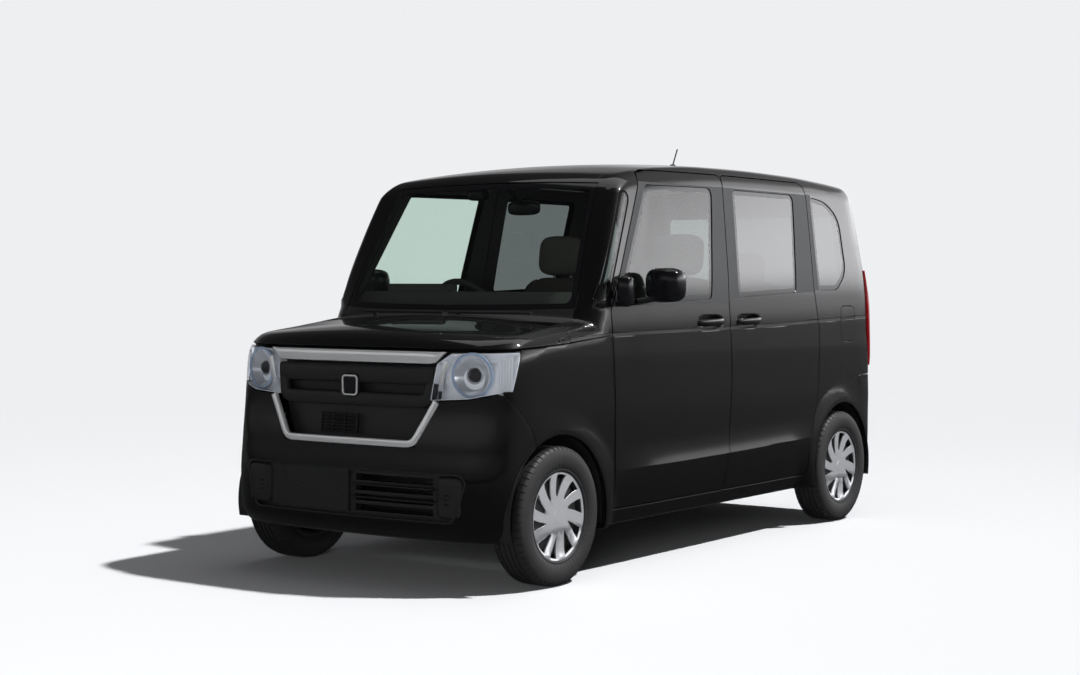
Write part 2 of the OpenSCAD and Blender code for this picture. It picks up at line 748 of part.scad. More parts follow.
module knuckle_right() { mirror([1, 0, 0]) knuckle(); }
// A pressed steel wheel with its brake disc, turned about X: columns are the radius and the place along X.
module wheel(x, y, face) {
    plate = [
        [0, -13 + seat_gap], [40, -13 + seat_gap], [40, -17], [118, -17], [118, -3], [52, -3], [52, 30],
        [90, 36], [140, 30], [160, 12], [rim_radius - 14, 10], [rim_radius - 14, -58], [rim_radius - 4, -66],
        [rim_radius + 8, -66], [rim_radius + 8, -70], [rim_radius + 12, -70], [rim_radius + 12, -60],
        [rim_radius, -54], [rim_radius, 54], [rim_radius + 12, 60], [rim_radius + 12, 70],
        [rim_radius + 6, 70], [rim_radius - 8, 60], [rim_radius - 10, 30], [150, 42], [90, 48], [0, 44]
    ];
    color("#2c2c2e") translate([x, y, tyre_radius]) rotate([0, face * 90, 0])
        rotate_extrude($fn = smooth) polygon(plate);
}
module tyre(x, y) {
    w = tyre_width / 2;
    color("#161616") translate([x, y, tyre_radius]) rotate([0, 90, 0]) rotate_extrude($fn = smooth) polygon([
        [rim_radius + seat_gap, -50], [rim_radius + 20, -56], [rim_radius + 30, -w + 3], [tyre_radius - 45, -w], [tyre_radius - 14, -w + 6],
        [tyre_radius - 3, -w + 22], [tyre_radius, -w + 45], [tyre_radius, w - 45], [tyre_radius - 3, w - 22],
        [tyre_radius - 14, w - 6], [tyre_radius - 45, w], [rim_radius + 30, w - 3], [rim_radius + 20, 56], [rim_radius + seat_gap, 50]
    ]);
}
module rear_axle_beam() {
    color("#303234") {
        tube_run([[-500, rear_axle - 230, 250], [500, rear_axle - 230, 250]], 30);
        both() {
            tube_run([[500, rear_axle - 400, 222], [500, rear_axle - 230, 250], [505, rear_axle, tyre_radius]], 26);
            rod_x(480, wheel_x - 13, rear_axle, tyre_radius, 30);
            tube_run([[430, rear_axle - 150, 270], [430, rear_axle - 150, 466]], 50);
            block([380, rear_axle - 200, 240], [505, rear_axle - 100, 275]);
            block([470, rear_axle - 450, 214], [520, rear_axle - 395, 253]);
        }
    }
}
module wheel_front_left() { wheel(wheel_x, front_axle, 1); }
module wheel_front_right() { wheel(-wheel_x, front_axle, -1); }
module wheel_rear_left() { wheel(wheel_x, rear_axle, 1); }
module wheel_rear_right() { wheel(-wheel_x, rear_axle, -1); }
module tyre_front_left() { tyre(wheel_x, front_axle); }
module tyre_front_right() { tyre(-wheel_x, front_axle); }
module tyre_rear_left() { tyre(wheel_x, rear_axle); }
module tyre_rear_right() { tyre(-wheel_x, rear_axle); }

body_shell();
roof_panel();
floor_pan();
front_frame();
front_fenders();
wheelhouses();
front_bumper();
grille();
grille_trim();
lower_grille();
headlamps();
bonnet();
windscreen();
corner_windows();
quarter_windows();
wipers();
antenna();
front_door_left();
front_door_right();
front_window_left();
front_window_right();
front_handle_left();
front_handle_right();
mirror_left();
mirror_right();
rear_door_left();
rear_door_right();
rear_door_windows();
rear_door_handles();
fuel_lid();
tailgate();
tailgate_window();
rear_wiper();
tail_lamps();
rear_bumper();
dashboard();
steering_wheel();
front_seats();
rear_seat();
engine();
fuel_tank();
exhaust();
front_suspension();
rear_axle_beam();  // rear_axle
knuckle_left();
knuckle_right();
wheel_front_left();
wheel_front_right();
wheel_rear_left();
wheel_rear_right();
tyre_front_left();
tyre_front_right();
tyre_rear_left();
tyre_rear_right();
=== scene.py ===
import math
import time

import bmesh
import bpy
import numpy as np
from mathutils import Matrix, Vector


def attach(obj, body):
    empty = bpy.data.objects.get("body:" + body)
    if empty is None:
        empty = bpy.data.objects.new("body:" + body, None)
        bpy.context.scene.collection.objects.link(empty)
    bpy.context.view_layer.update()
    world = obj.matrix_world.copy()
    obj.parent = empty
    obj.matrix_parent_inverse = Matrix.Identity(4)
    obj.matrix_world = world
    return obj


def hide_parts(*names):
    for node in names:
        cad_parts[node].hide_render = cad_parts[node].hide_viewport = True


started = time.time()
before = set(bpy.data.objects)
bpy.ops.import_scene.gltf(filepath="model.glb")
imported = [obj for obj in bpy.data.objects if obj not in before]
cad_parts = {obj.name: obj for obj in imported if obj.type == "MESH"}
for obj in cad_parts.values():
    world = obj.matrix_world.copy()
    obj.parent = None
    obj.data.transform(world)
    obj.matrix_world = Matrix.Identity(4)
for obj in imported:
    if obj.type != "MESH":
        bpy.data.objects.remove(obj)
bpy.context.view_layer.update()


def say(text):
    print(f"{text}: {time.time() - started:.1f} s")


# Numbers shared by several pieces: wheel places, the arches, the shut gap, and a panel's edge and depth.
shared = {"frontAxle": -1.231, "rearAxle": 1.289, "hubHeight": 0.2785, "arch": 0.325, "track": 0.6525,
          "gap": 0.0024, "edge": 0.0018, "panelDepth": 0.022}


# Materials: each is a Principled shader with a fine grain, or a thin pane of glass.
def addNode(tree, kind, inputs=None, **settings):
    # An input takes a value, or a link from another node's output.
    node = tree.nodes.new("ShaderNode" + kind)
    for key, value in settings.items():
        setattr(node, key, value)
    for key, value in (inputs or {}).items():
        if isinstance(value, bpy.types.NodeSocket):
            tree.links.new(value, node.inputs[key])
        else:
            node.inputs[key].default_value = value
    return node


def makeGrain():
    tree = bpy.data.node_groups.new("grain", "ShaderNodeTree")
    for name, side, kind in (("Scale", "INPUT", "Float"), ("Rough", "INPUT", "Float"), ("Spread", "INPUT", "Float"),
                             ("Bump", "INPUT", "Float"), ("Rough", "OUTPUT", "Float"), ("Normal", "OUTPUT", "Vector")):
        tree.interface.new_socket(name=name, in_out=side, socket_type="NodeSocket" + kind)
    entry = tree.nodes.new("NodeGroupInput").outputs
    leave = tree.nodes.new("NodeGroupOutput").inputs
    place = addNode(tree, "TexCoord").outputs["Object"]
    noise = addNode(tree, "TexNoise", {"Detail": 3.0, "Vector": place, "Scale": entry["Scale"]}).outputs["Fac"]
    centre = addNode(tree, "Math", {0: noise, 1: 0.5}, operation="SUBTRACT").outputs[0]
    swing = addNode(tree, "Math", {0: centre, 1: entry["Spread"], 2: entry["Rough"]}, operation="MULTIPLY_ADD")
    bump = addNode(tree, "Bump", {"Distance": 0.001, "Strength": entry["Bump"], "Height": noise})
    tree.links.new(swing.outputs[0], leave["Rough"])
    tree.links.new(bump.outputs["Normal"], leave["Normal"])
    return tree


grain = makeGrain()


def makeMaterial(name, look):
    material = bpy.data.materials.new(name)
    material.use_nodes = True
    tree = material.node_tree
    shader = tree.nodes["Principled BSDF"].inputs
    shader["Base Color"].default_value = (*look["color"], 1)
    shader["IOR"].default_value = 1.5
    for socket, key, usual in (("Metallic", "metal", 0), ("Specular IOR Level", "base", 0.5),
                               ("Coat Weight", "coat", 0), ("Coat Roughness", "coatRough", 0.03)):
        shader[socket].default_value = look.get(key, usual)
    inputs = {"Scale": look.get("scale", 90), "Rough": look["rough"], "Spread": look.get("spread", 0.04),
              "Bump": look.get("bump", 0)}
    use = addNode(tree, "Group", inputs, node_tree=grain)
    tree.links.new(use.outputs["Rough"], shader["Roughness"])
    if look.get("bump", 0):
        tree.links.new(use.outputs["Normal"], shader["Normal"])
    return material


def makeGlass(name, look):
    # Clear straight through by its tint, with a gloss reflection by angle on its outer face.
    material = bpy.data.materials.new(name)
    material.use_nodes = True
    tree = material.node_tree
    tree.nodes.remove(tree.nodes["Principled BSDF"])
    through = addNode(tree, "BsdfTransparent", {"Color": (*look["tint"], 1)}).outputs[0]
    gloss = addNode(tree, "BsdfGlossy", {"Roughness": 0.01, "Color": (1, 1, 1, 1)}).outputs[0]
    angle = addNode(tree, "Fresnel", {"IOR": look["ior"]}).outputs[0]
    behind = addNode(tree, "NewGeometry").outputs["Backfacing"]
    front = addNode(tree, "Math", {0: 1, 1: behind}, operation="SUBTRACT").outputs[0]
    amount = addNode(tree, "Math", {0: front, 1: angle}, operation="MULTIPLY").outputs[0]
    mix = addNode(tree, "MixShader", {0: amount, 1: through, 2: gloss})
    tree.links.new(mix.outputs[0], tree.nodes["Material Output"].inputs["Surface"])
    return material


paint = makeMaterial("paint", {"color": (0.003, 0.003, 0.0034), "rough": 0.4, "base": 0.08, "coat": 1.0, "spread": 0.02})
satinBlack = makeMaterial("satinBlack", {"color": (0.012, 0.012, 0.013), "rough": 0.42, "bump": 0.15, "scale": 900})
glossBlack = makeMaterial("glossBlack", {"color": (0.006, 0.006, 0.007), "rough": 0.12})
rubberBlack = makeMaterial("rubberBlack", {"color": (0.012, 0.012, 0.012), "rough": 0.62, "bump": 0.2, "scale": 700})
tyreRubber = makeMaterial("tyreRubber", {"color": (0.014, 0.014, 0.015), "rough": 0.58, "bump": 0.25, "scale": 500})
chrome = makeMaterial("chrome", {"color": (0.93, 0.94, 0.95), "metal": 0.72, "rough": 0.14, "spread": 0.01})
coverSilver = makeMaterial("coverSilver", {"color": (0.62, 0.63, 0.65), "metal": 0.55, "rough": 0.34, "coat": 0.6})
wheelSteel = makeMaterial("wheelSteel", {"color": (0.02, 0.02, 0.022), "metal": 0.2, "rough": 0.45})
chassisSteel = makeMaterial("chassisSteel", {"color": (0.022, 0.022, 0.024), "metal": 0.3, "rough": 0.55, "bump": 0.2})
castMetal = makeMaterial("castMetal", {"color": (0.28, 0.28, 0.29), "metal": 0.9, "rough": 0.5, "bump": 0.3, "scale": 300})
pipeSteel = makeMaterial("pipeSteel", {"color": (0.42, 0.41, 0.39), "metal": 1, "rough": 0.4})
seatCloth = makeMaterial("seatCloth", {"color": (0.075, 0.07, 0.066), "rough": 0.9, "bump": 0.5, "scale": 1400})
cabinPlastic = makeMaterial("cabinPlastic", {"color": (0.045, 0.043, 0.042), "rough": 0.6, "bump": 0.3, "scale": 1100})
cabinPale = makeMaterial("cabinPale", {"color": (0.42, 0.40, 0.37), "rough": 0.75, "bump": 0.2, "scale": 900})
sashTape = makeMaterial("sashTape", {"color": (0.032, 0.034, 0.036), "rough": 0.5, "bump": 0.1, "scale": 800})
lampRed = makeMaterial("lampRed", {"color": (0.42, 0.006, 0.01), "rough": 0.12, "coat": 1.0})
lampLens = makeGlass("lampLens", {"tint": (0.97, 0.98, 1.0), "ior": 1.45})
lampRing = makeMaterial("lampRing", {"color": (0.30, 0.38, 0.48), "metal": 0.2, "rough": 0.15, "coat": 1})
lampPale = makeMaterial("lampPale", {"color": (0.95, 0.96, 0.97), "metal": 0.45, "rough": 0.2})
frontGlass = makeGlass("frontGlass", {"tint": (0.93, 0.965, 0.95), "ior": 1.5})
doorGlass = makeGlass("doorGlass", {"tint": (0.86, 0.93, 0.89), "ior": 1.6})
darkGlass = makeGlass("darkGlass", {"tint": (0.42, 0.44, 0.44), "ior": 1.8})
mirrorSilver = makeMaterial("mirrorSilver", {"color": (0.8, 0.8, 0.8), "metal": 1, "rough": 0.02})
say("materials")


# The body's smooth outer form: its tables, and the one value that is nought on its surface.
def curve(points):
    xs, ys = np.array(points, float).T
    h = np.diff(xs)
    d = np.diff(ys) / h
    m = np.concatenate([[d[0]], np.zeros(len(d) - 1), [d[-1]]])
    for k in range(1, len(d)):
        if d[k - 1] * d[k] > 0:
            a, b = 2 * h[k] + h[k - 1], h[k] + 2 * h[k - 1]
            m[k] = (a + b) / (a / d[k - 1] + b / d[k])

    def at(x):
        x = np.asarray(x, float)
        i = np.clip(np.searchsorted(xs, x) - 1, 0, len(h) - 1)
        t = (x - xs[i]) / h[i]
        c = np.clip(t, 0, 1)
        value = ys[i] * (1 + 2 * c) * (1 - c) ** 2 + ys[i + 1] * c * c * (3 - 2 * c)
        value += h[i] * (m[i] * c * (1 - c) ** 2 - m[i + 1] * c * c * (1 - c))
        return value + (t - c) * h[i] * np.where(t > 1, m[i + 1], m[i])

    return at


def softMax(a, b, k):
    h = np.maximum(k - np.abs(a - b), 0) / k
    return np.maximum(a, b) + h * h * k * 0.25


def softStep(t):
    t = np.clip(t, 0, 1)
    return t * t * (3 - 2 * t)


form = {
    "sideHalf": curve([(0.1, 0.7265), (0.52, 0.7270), (0.70, 0.7290), (0.85, 0.7290), (1.00, 0.7262), (1.13, 0.7200),
                       (1.40, 0.688), (1.64, 0.6545), (1.80, 0.630)]),
    "noseByHeight": curve([(0.195, -1.640), (0.262, -1.690), (0.40, -1.6965), (0.56, -1.6835), (0.70, -1.6675),
                           (0.85, -1.6555), (0.945, -1.6415), (1.10, -1.610)]),
    "tailByHeight": curve([(0.195, 1.6225), (0.262, 1.6755), (0.43, 1.6955), (0.60, 1.6965), (0.76, 1.6895),
                           (1.094, 1.6895), (1.276, 1.6655), (1.554, 1.6255), (1.70, 1.6025), (1.85, 1.570)]),
    "noseByWidth": curve([(0, 0), (0.06, 0.0005), (0.25, 0.004), (0.42, 0.016), (0.5605, 0.038), (0.6405, 0.070),
                          (0.7005, 0.127), (0.7305, 0.215), (0.7375, 0.40)]),
    "tailByWidth": curve([(0, 0), (0.06, 0.0003), (0.5475, 0.004), (0.6275, 0.009), (0.6775, 0.023), (0.7125, 0.054),
                          (0.7315, 0.11), (0.7375, 0.22)]),
    "bonnetTop": curve([(-1.75, 0.952), (-1.64, 0.985), (-1.5775, 1.004), (-1.4775, 1.025), (-1.291, 1.047),
                        (-1.135, 1.066), (-1.0, 1.083), (-0.5, 1.12)]),
    "roofTop": curve([(-1.0, 1.58), (-0.74, 1.668), (-0.56, 1.706), (-0.251, 1.744), (0.123, 1.764), (0.553, 1.769),
                      (0.949, 1.765), (1.3025, 1.751), (1.5125, 1.737), (1.70, 1.714)]),
    "rail": curve([(-1.65, 0.938), (-1.465, 0.949), (-0.858, 0.990), (0.427, 1.006), (1.489, 1.033), (1.7, 1.038)]),
    "crease": curve([(-1.7, 0.412), (-0.825, 0.424), (0.145, 0.434), (0.885, 0.447), (1.7, 0.458)]),
    "windowBow": curve([(1.0, 0.29), (1.63, 0.11), (1.9, 0.10)]),
    "bowls": [(-0.052, 1.030, 0.121, 0.036), (0.301, 1.030, 0.121, 0.036)],
    "bowlDepth": 0.018,
    "flare": 0.0105, "flareFrom": 0.425, "flareTo": 0.345,
    "railHalf": 0.0085, "railWall": 0.002, "railDepth": 0.0035,
    "lipRise": 0.0085, "lipTall": 0.105, "lipStep": 0.003, "lipDrop": 0.004, "lipFrom": (-0.88, 0.40), "lipTo": (1.02, 0.34),
    "tuck": (0.08, 0.60), "tuckFade": (0.33, 0.12), "widest": 0.7375, "under": 0.195, "roofBow": 0.078, "bonnetBow": 0.085,
    "screenFoot": (-1.085, 1.08), "screenRake": 0.616, "screenScale": 0.851,
    "blend": {"corner": 0.03, "lid": 0.012, "roof": 0.05, "top": 0.085, "pillar": 0.04, "under": 0.02},
}


def bodyValue(p):
    x, y, z = np.abs(p[:, 0]), p[:, 1], p[:, 2]
    half = form["sideHalf"](z)
    front = np.hypot(y - shared["frontAxle"], z - shared["hubHeight"])
    rear = np.hypot(y - shared["rearAxle"], z - shared["hubHeight"])
    near = np.minimum(front, rear)
    above = z - form["crease"](y)
    drop = np.maximum(-above, 0)
    start, stop = form["lipFrom"], form["lipTo"]
    along = softStep((y - start[0]) / start[1]) * softStep((stop[0] - y) / stop[1])
    rise = np.clip(1 - above / form["lipTall"], 0, 1)
    lip = form["lipRise"] * rise * rise - form["lipStep"] * np.clip(drop / form["lipDrop"], 0, 1)
    (gentle, strong), (fadeFrom, fadeOver) = form["tuck"], form["tuckFade"]
    tuck = (gentle * drop + strong * drop * drop) * softStep((near - fadeFrom) / fadeOver)
    flare = form["flare"] * np.clip((form["flareFrom"] - near) / (form["flareFrom"] - form["flareTo"]), 0, 1) ** 1.15
    side = x - (half - tuck + np.maximum(lip * along, flare))
    off = np.abs(z - form["rail"](y))
    side = side + form["railDepth"] * np.clip((form["railHalf"] - off) / form["railWall"], 0, 1)
    for cy, cz, wide, tall in form["bowls"]:
        q = (np.abs((y - cy) / wide) ** 3.4 + np.abs((z - cz) / tall) ** 2.6) ** (1 / 3)
        side = side + form["bowlDepth"] * softStep((1 - q) / 0.62)
    ends = []
    for part, sign in (("nose", -1), ("tail", 1)):
        # The distance past an end of the car, eased by how steeply that end curves away.
        wide, g, step = x * form["widest"] / half, form[part + "ByWidth"], 0.001
        slope = (g(wide + step) - g(wide - step)) / (2 * step)
        ends.append((sign * (y - form[part + "ByHeight"](z)) + g(wide)) / np.sqrt(1 + slope * slope))
    roof = z - form["roofTop"](y) + form["roofBow"] * x * x
    bonnet = z - form["bonnetTop"](y) + form["bonnetBow"] * x * x
    foot = form["screenFoot"]
    screen = (foot[0] + (z - foot[1]) * form["screenRake"] + form["windowBow"](z) * x * x - y) * form["screenScale"]
    blend = form["blend"]
    lid = -softMax(-bonnet, -screen, blend["lid"])
    top = softMax(roof, lid, blend["roof"])
    pillar = softStep((z - 1.09) / 0.05) * softStep((1.66 - z) / 0.08) * softStep((-0.5 - y) / 0.1)
    value = softMax(side, ends[0], blend["corner"])
    value = softMax(value, ends[1], blend["corner"])
    value = softMax(value, top, blend["top"] - blend["pillar"] * pillar)
    return softMax(value, form["under"] - z, blend["under"])


def bodyNormal(p, e=0.0006):
    return np.stack([bodyValue(p + e * u) - bodyValue(p - e * u) for u in np.eye(3)], 1) / (2 * e)


def makeHull(step):
    # A box of fine quads is pulled from points inside the body onto its surface, by halving.
    lo, hi = np.array([-0.74, -1.70, 0.19]), np.array([0.74, 1.70, 1.80])
    counts = np.maximum(np.round((hi - lo) / step).astype(int), 2)
    axes = [np.linspace(lo[k], hi[k], counts[k] + 1) for k in range(3)]
    points, quads = [], []
    total = 0
    for fixed in range(3):
        i, j = [(1, 2), (2, 0), (0, 1)][fixed]
        for end in (0, 1):
            u, v = np.meshgrid(axes[i], axes[j], indexing="ij")
            p = np.zeros(u.shape + (3,))
            p[..., i], p[..., j] = u, v
            p[..., fixed] = (lo, hi)[end][fixed]
            index = np.arange(u.size).reshape(u.shape) + total
            q = np.stack([index[:-1, :-1], index[1:, :-1], index[1:, 1:], index[:-1, 1:]], -1).reshape(-1, 4)
            quads.append(q if end else q[:, ::-1])
            points.append(p.reshape(-1, 3))
            total += u.size
    p, q = np.concatenate(points), np.concatenate(quads)
    key = np.round(p * 1e5).astype(np.int64)
    unused, first, back = np.unique(key, axis=0, return_index=True, return_inverse=True)
    p, q = p[first], back.reshape(-1)[q]
    middle = np.stack([p[:, 0] * 0, p[:, 1] * 0.62, np.full(len(p), 0.66)], 1)
    way = p - middle
    near, far = np.zeros(len(p)), np.full(len(p), 1.25)
    for unused in range(26):
        t = (near + far) / 2
        outside = bodyValue(middle + way * t[:, None]) > 0
        far = np.where(outside, t, far)
        near = np.where(outside, near, t)
    return middle + way * ((near + far) / 2)[:, None], q


hullPoints, hullQuads = makeHull(0.017)
hullMiddles = hullPoints[hullQuads].mean(1)
say("body form")


# Outlines are lists of points in one view.
def signedArea(points):
    return sum(a[0] * b[1] - b[0] * a[1] for a, b in zip(points, points[1:] + points[:1])) / 2


def grown(points, d):
    sign = 1 if signedArea(points) > 0 else -1
    made = []
    for a, b, c in zip(points[-1:] + points[:-1], points, points[1:] + points[:1]):
        u = np.array(b, float) - a
        v = np.array(c, float) - b
        u, v = u / np.linalg.norm(u), v / np.linalg.norm(v)
        n = np.array([u[1], -u[0]]) + np.array([v[1], -v[0]])
        n = n / max(np.linalg.norm(n), 1e-9)
        reach = d / max(n @ np.array([v[1], -v[0]]), 0.35)
        made.append(tuple(np.array(b) + sign * n * reach))
    return made


def rounded(points, radius, steps=5):
    radii = radius if isinstance(radius, (list, tuple)) else [radius] * len(points)
    made = []
    for a, b, c, r in zip(points[-1:] + points[:-1], points, points[1:] + points[:1], radii):
        a, b, c = np.array(a, float), np.array(b, float), np.array(c, float)
        if r <= 0:
            made.append(tuple(b))
            continue
        u, v = a - b, c - b
        lu, lv = np.linalg.norm(u), np.linalg.norm(v)
        bend = math.pi - math.acos(np.clip(u @ v / lu / lv, -1, 1))
        t = min(r * math.tan(bend / 2), 0.45 * lu, 0.45 * lv)
        p, q = b + u / lu * t, b + v / lv * t
        for k in range(steps + 1):
            s = k / steps
            made.append(tuple((1 - s) ** 2 * p + 2 * s * (1 - s) * b + s * s * q))
    return made


def inOutline(points, u, v):
    inside = False
    for (a, b), (c, d) in zip(points, points[1:] + points[:1]):
        if (b > v) != (d > v) and u < (c - a) * (v - b) / (d - b) + a:
            inside = not inside
    return inside


def disc(centre, radius, count=48):
    turn = [2 * math.pi * k / count for k in range(count)]
    return [(centre[0] + radius * math.cos(a), centre[1] + radius * math.sin(a)) for a in turn]


lookAxes = {"side": (1, 2), "front": (0, 2), "top": (0, 1)}


def hullPatch(limits):
    lo, hi = np.array(limits[0]), np.array(limits[1])
    keep = hullQuads[((hullMiddles > lo - 0.03) & (hullMiddles < hi + 0.03)).all(1)]
    used, back = np.unique(keep, return_inverse=True)
    patch = bmesh.new()
    made = [patch.verts.new(p) for p in hullPoints[used]]
    for q in back.reshape(-1, 4):
        corners = list(dict.fromkeys(q.tolist()))
        if len(corners) > 2:
            patch.faces.new([made[k] for k in corners])
    return patch


def cutAlong(patch, look, points, closed=True):
    i, j = lookAxes[look]
    ends = list(zip(points, points[1:] + points[:1])) if closed else list(zip(points, points[1:]))
    for a, b in ends:
        lo = (min(a[0], b[0]) - 1e-5, min(a[1], b[1]) - 1e-5)
        hi = (max(a[0], b[0]) + 1e-5, max(a[1], b[1]) + 1e-5)
        near = []
        for face in patch.faces:
            us = [v.co[i] for v in face.verts]
            if max(us) < lo[0] or min(us) > hi[0]:
                continue
            vs = [v.co[j] for v in face.verts]
            if max(vs) < lo[1] or min(vs) > hi[1]:
                continue
            near.append(face)
        if not near:
            continue
        normal, point = Vector((0, 0, 0)), Vector((0, 0, 0))
        normal[i], normal[j] = b[1] - a[1], a[0] - b[0]
        if normal.length < 1e-7:
            continue
        point[i], point[j] = a
        geometry = set(near)
        for face in near:
            geometry.update(face.edges)
            geometry.update(face.verts)
        bmesh.ops.bisect_plane(patch, geom=list(geometry), dist=2e-5, plane_co=point, plane_no=normal)


def keepPart(patch, look, points, inside=True):
    i, j = lookAxes[look]
    drop = []
    for face in patch.faces:
        c = face.calc_center_median()
        if inOutline(points, c[i], c[j]) != inside:
            drop.append(face)
    bmesh.ops.delete(patch, geom=drop, context="FACES")


def rimOf(faces):
    pairs = dict.fromkeys((a, b) for face in faces for a, b in zip(face, face[1:] + face[:1]))
    return [(a, b) for a, b in pairs if (b, a) not in pairs]


def shellMesh(name, points, faces, normals, depth, edge, marks=None, lining=0):
    # An outer skin gets a rounded edge, a rim and an inner skin; normals come from the smooth form.
    count = len(points)
    rim = rimOf(faces)
    out = np.zeros((count, 3))
    for a, b in rim:
        e = points[b] - points[a]
        across = np.cross(e, normals[a] + normals[b])
        out[a] += across
        out[b] += across
    out = out / np.maximum(np.linalg.norm(out, axis=1, keepdims=True), 1e-12)
    out -= normals * (out * normals).sum(1, keepdims=True)
    out /= np.maximum(np.linalg.norm(out, axis=1, keepdims=True), 1e-12)
    border = sorted({v for pair in rim for v in pair})
    place = {v: k for k, v in enumerate(border)}
    p, n, t = points[border], normals[border], out[border]
    first = p + 0.7071 * edge * t - 0.2929 * edge * n
    second = p + edge * t - edge * n
    third = p + edge * t - depth * n
    inner = points - depth * normals
    vertices = np.concatenate([points, first, second, third, inner])
    b1, b2, b3, b4 = count, count + len(border), count + 2 * len(border), count + 3 * len(border)
    allFaces, allNormals, allMarks = [], [], []
    middle = (n + t) / np.linalg.norm(n + t, axis=1, keepdims=True)
    # Each corner's normal is taken a little inside its own face, so that a crease stays crisp.
    owners = np.repeat(np.arange(len(faces)), [len(face) for face in faces])
    corners = points[[v for face in faces for v in face]]
    way = np.array([points[face].mean(0) for face in faces])[owners] - corners
    far = np.maximum(np.linalg.norm(way, axis=1, keepdims=True), 1e-9)
    bent = bodyNormal(corners + way * np.minimum(0.0014 / far, 0.4), 0.0004)
    bent /= np.linalg.norm(bent, axis=1, keepdims=True)
    plain = normals[[v for face in faces for v in face]]
    bent = np.where((bent * plain).sum(1, keepdims=True) > 0.5, bent, plain)
    allNormals += list(bent)
    for k, face in enumerate(faces):
        allFaces.append(face)
        allMarks.append(marks[k] if marks else 0)
    for a, b in rim:
        i, j = place[a], place[b]
        allFaces.append([b, a, b1 + i, b1 + j])
        allNormals += [n[j], n[i], middle[i], middle[j]]
        allFaces.append([b1 + j, b1 + i, b2 + i, b2 + j])
        allNormals += [middle[j], middle[i], t[i], t[j]]
        allFaces.append([b2 + j, b2 + i, b3 + i, b3 + j])
        allNormals += [t[j], t[i], t[i], t[j]]
        allMarks += [0] * 3
    for k, face in enumerate(faces):
        back = [b3 + place[v] if v in place else b4 + v for v in reversed(face)]
        allFaces.append(back)
        allNormals += [-normals[v] for v in reversed(face)]
        allMarks.append(lining if lining or not marks else marks[k])
    return buildMesh(name, vertices, allFaces, allNormals, allMarks)


def buildMesh(name, vertices, faces, loopNormals=None, marks=None):
    mesh = bpy.data.meshes.new(name)
    used = np.zeros(len(vertices), bool)
    for face in faces:
        used[list(face)] = True
    index = np.cumsum(used) - 1
    mesh.from_pydata(np.asarray(vertices)[used].tolist(), [], [[int(index[v]) for v in face] for face in faces])
    mesh.polygons.foreach_set("use_smooth", np.ones(len(mesh.polygons), bool))
    if marks is not None:
        mesh.polygons.foreach_set("material_index", np.array(marks, np.int32))
    if loopNormals is not None and len(mesh.loops) == len(loopNormals):
        mesh.normals_split_custom_set([tuple(v) for v in loopNormals])
    thing = bpy.data.objects.new(name, mesh)
    bpy.context.scene.collection.objects.link(thing)
    return thing


def dress(thing, materials, body, stands=()):
    for material in materials if isinstance(materials, list) else [materials]:
        thing.data.materials.append(material)
    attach(thing, body)
    if stands:
        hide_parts(*stands)
    return thing


def patchArrays(patch, offset=0.0, snap=True):
    bmesh.ops.remove_doubles(patch, verts=list(patch.verts), dist=3e-5)
    loose = [v for v in patch.verts if not v.link_faces]
    bmesh.ops.delete(patch, geom=loose, context="VERTS")
    patch.verts.index_update()
    points = np.array([v.co[:] for v in patch.verts])
    faces = [[v.index for v in face.verts] for face in patch.faces]
    patch.free()
    if snap:
        way = bodyNormal(points, 0.02)
        way /= np.linalg.norm(way, axis=1, keepdims=True)
        for unused in range(4):
            points = points - bodyValue(points)[:, None] * way
    g = bodyNormal(points)
    normals = g / np.linalg.norm(g, axis=1, keepdims=True)
    return points + normals * offset, faces, normals


def railLines(patch):
    ys = np.linspace(-1.62, 1.70, 34)
    zs = form["rail"](ys)
    half, flat = form["railHalf"], form["railHalf"] - form["railWall"]
    for shift in (-half, -flat, flat, half):
        cutAlong(patch, "side", [(float(y), float(z) + shift) for y, z in zip(ys, zs)], False)


def creaseLine(patch):
    ys = np.linspace(-1.70, 1.70, 18)
    zs = form["crease"](ys)
    for shift in (-form["lipDrop"], 0, 0.05, form["lipTall"]):
        cutAlong(patch, "side", [(float(y), float(z) + shift) for y, z in zip(ys, zs)], False)


def flareLines(patch):
    for axle in (shared["frontAxle"], shared["rearAxle"]):
        for radius in (form["flareTo"], (form["flareTo"] + form["flareFrom"]) / 2, form["flareFrom"]):
            cutAlong(patch, "side", disc((axle, shared["hubHeight"]), radius, 40))


def refine(patch, look, lo, hi, cuts):
    i, j = lookAxes[look]
    edges = set()
    for face in patch.faces:
        c = face.calc_center_median()
        if lo[0] < c[i] < hi[0] and lo[1] < c[j] < hi[1]:
            edges.update(face.edges)
    bmesh.ops.subdivide_edges(patch, edges=list(edges), cuts=cuts, use_grid_fill=True)


def flipped(data):
    points, faces, normals = data
    turn = np.array([-1, 1, 1])
    return points * turn, [face[::-1] for face in faces], normals * turn


def patchOf(data):
    points, faces, unused = data
    patch = bmesh.new()
    made = [patch.verts.new(p) for p in points]
    for face in faces:
        patch.faces.new([made[k] for k in face])
    return patch


def dropFaces(data, test):
    points, faces, normals = data
    return points, [face for face in faces if not test(points[face].mean(0))], normals


def cutPanel(limits, steps, offset=0.0, lines=(), fine=()):
    # Limits are two corners of a box round the panel; each step keeps what is inside or outside an outline.
    patch = hullPatch(limits)
    lo, hi = limits
    drop = [f for f in patch.faces if not all(lo[k] <= f.calc_center_median()[k] <= hi[k] for k in range(3))]
    bmesh.ops.delete(patch, geom=drop, context="FACES")
    for look, points, inside in steps:
        cutAlong(patch, look, points)
        keepPart(patch, look, points, inside)
    for line in lines:
        line(patch)
    for region in fine:
        refine(patch, *region)
    return patchArrays(patch, offset)


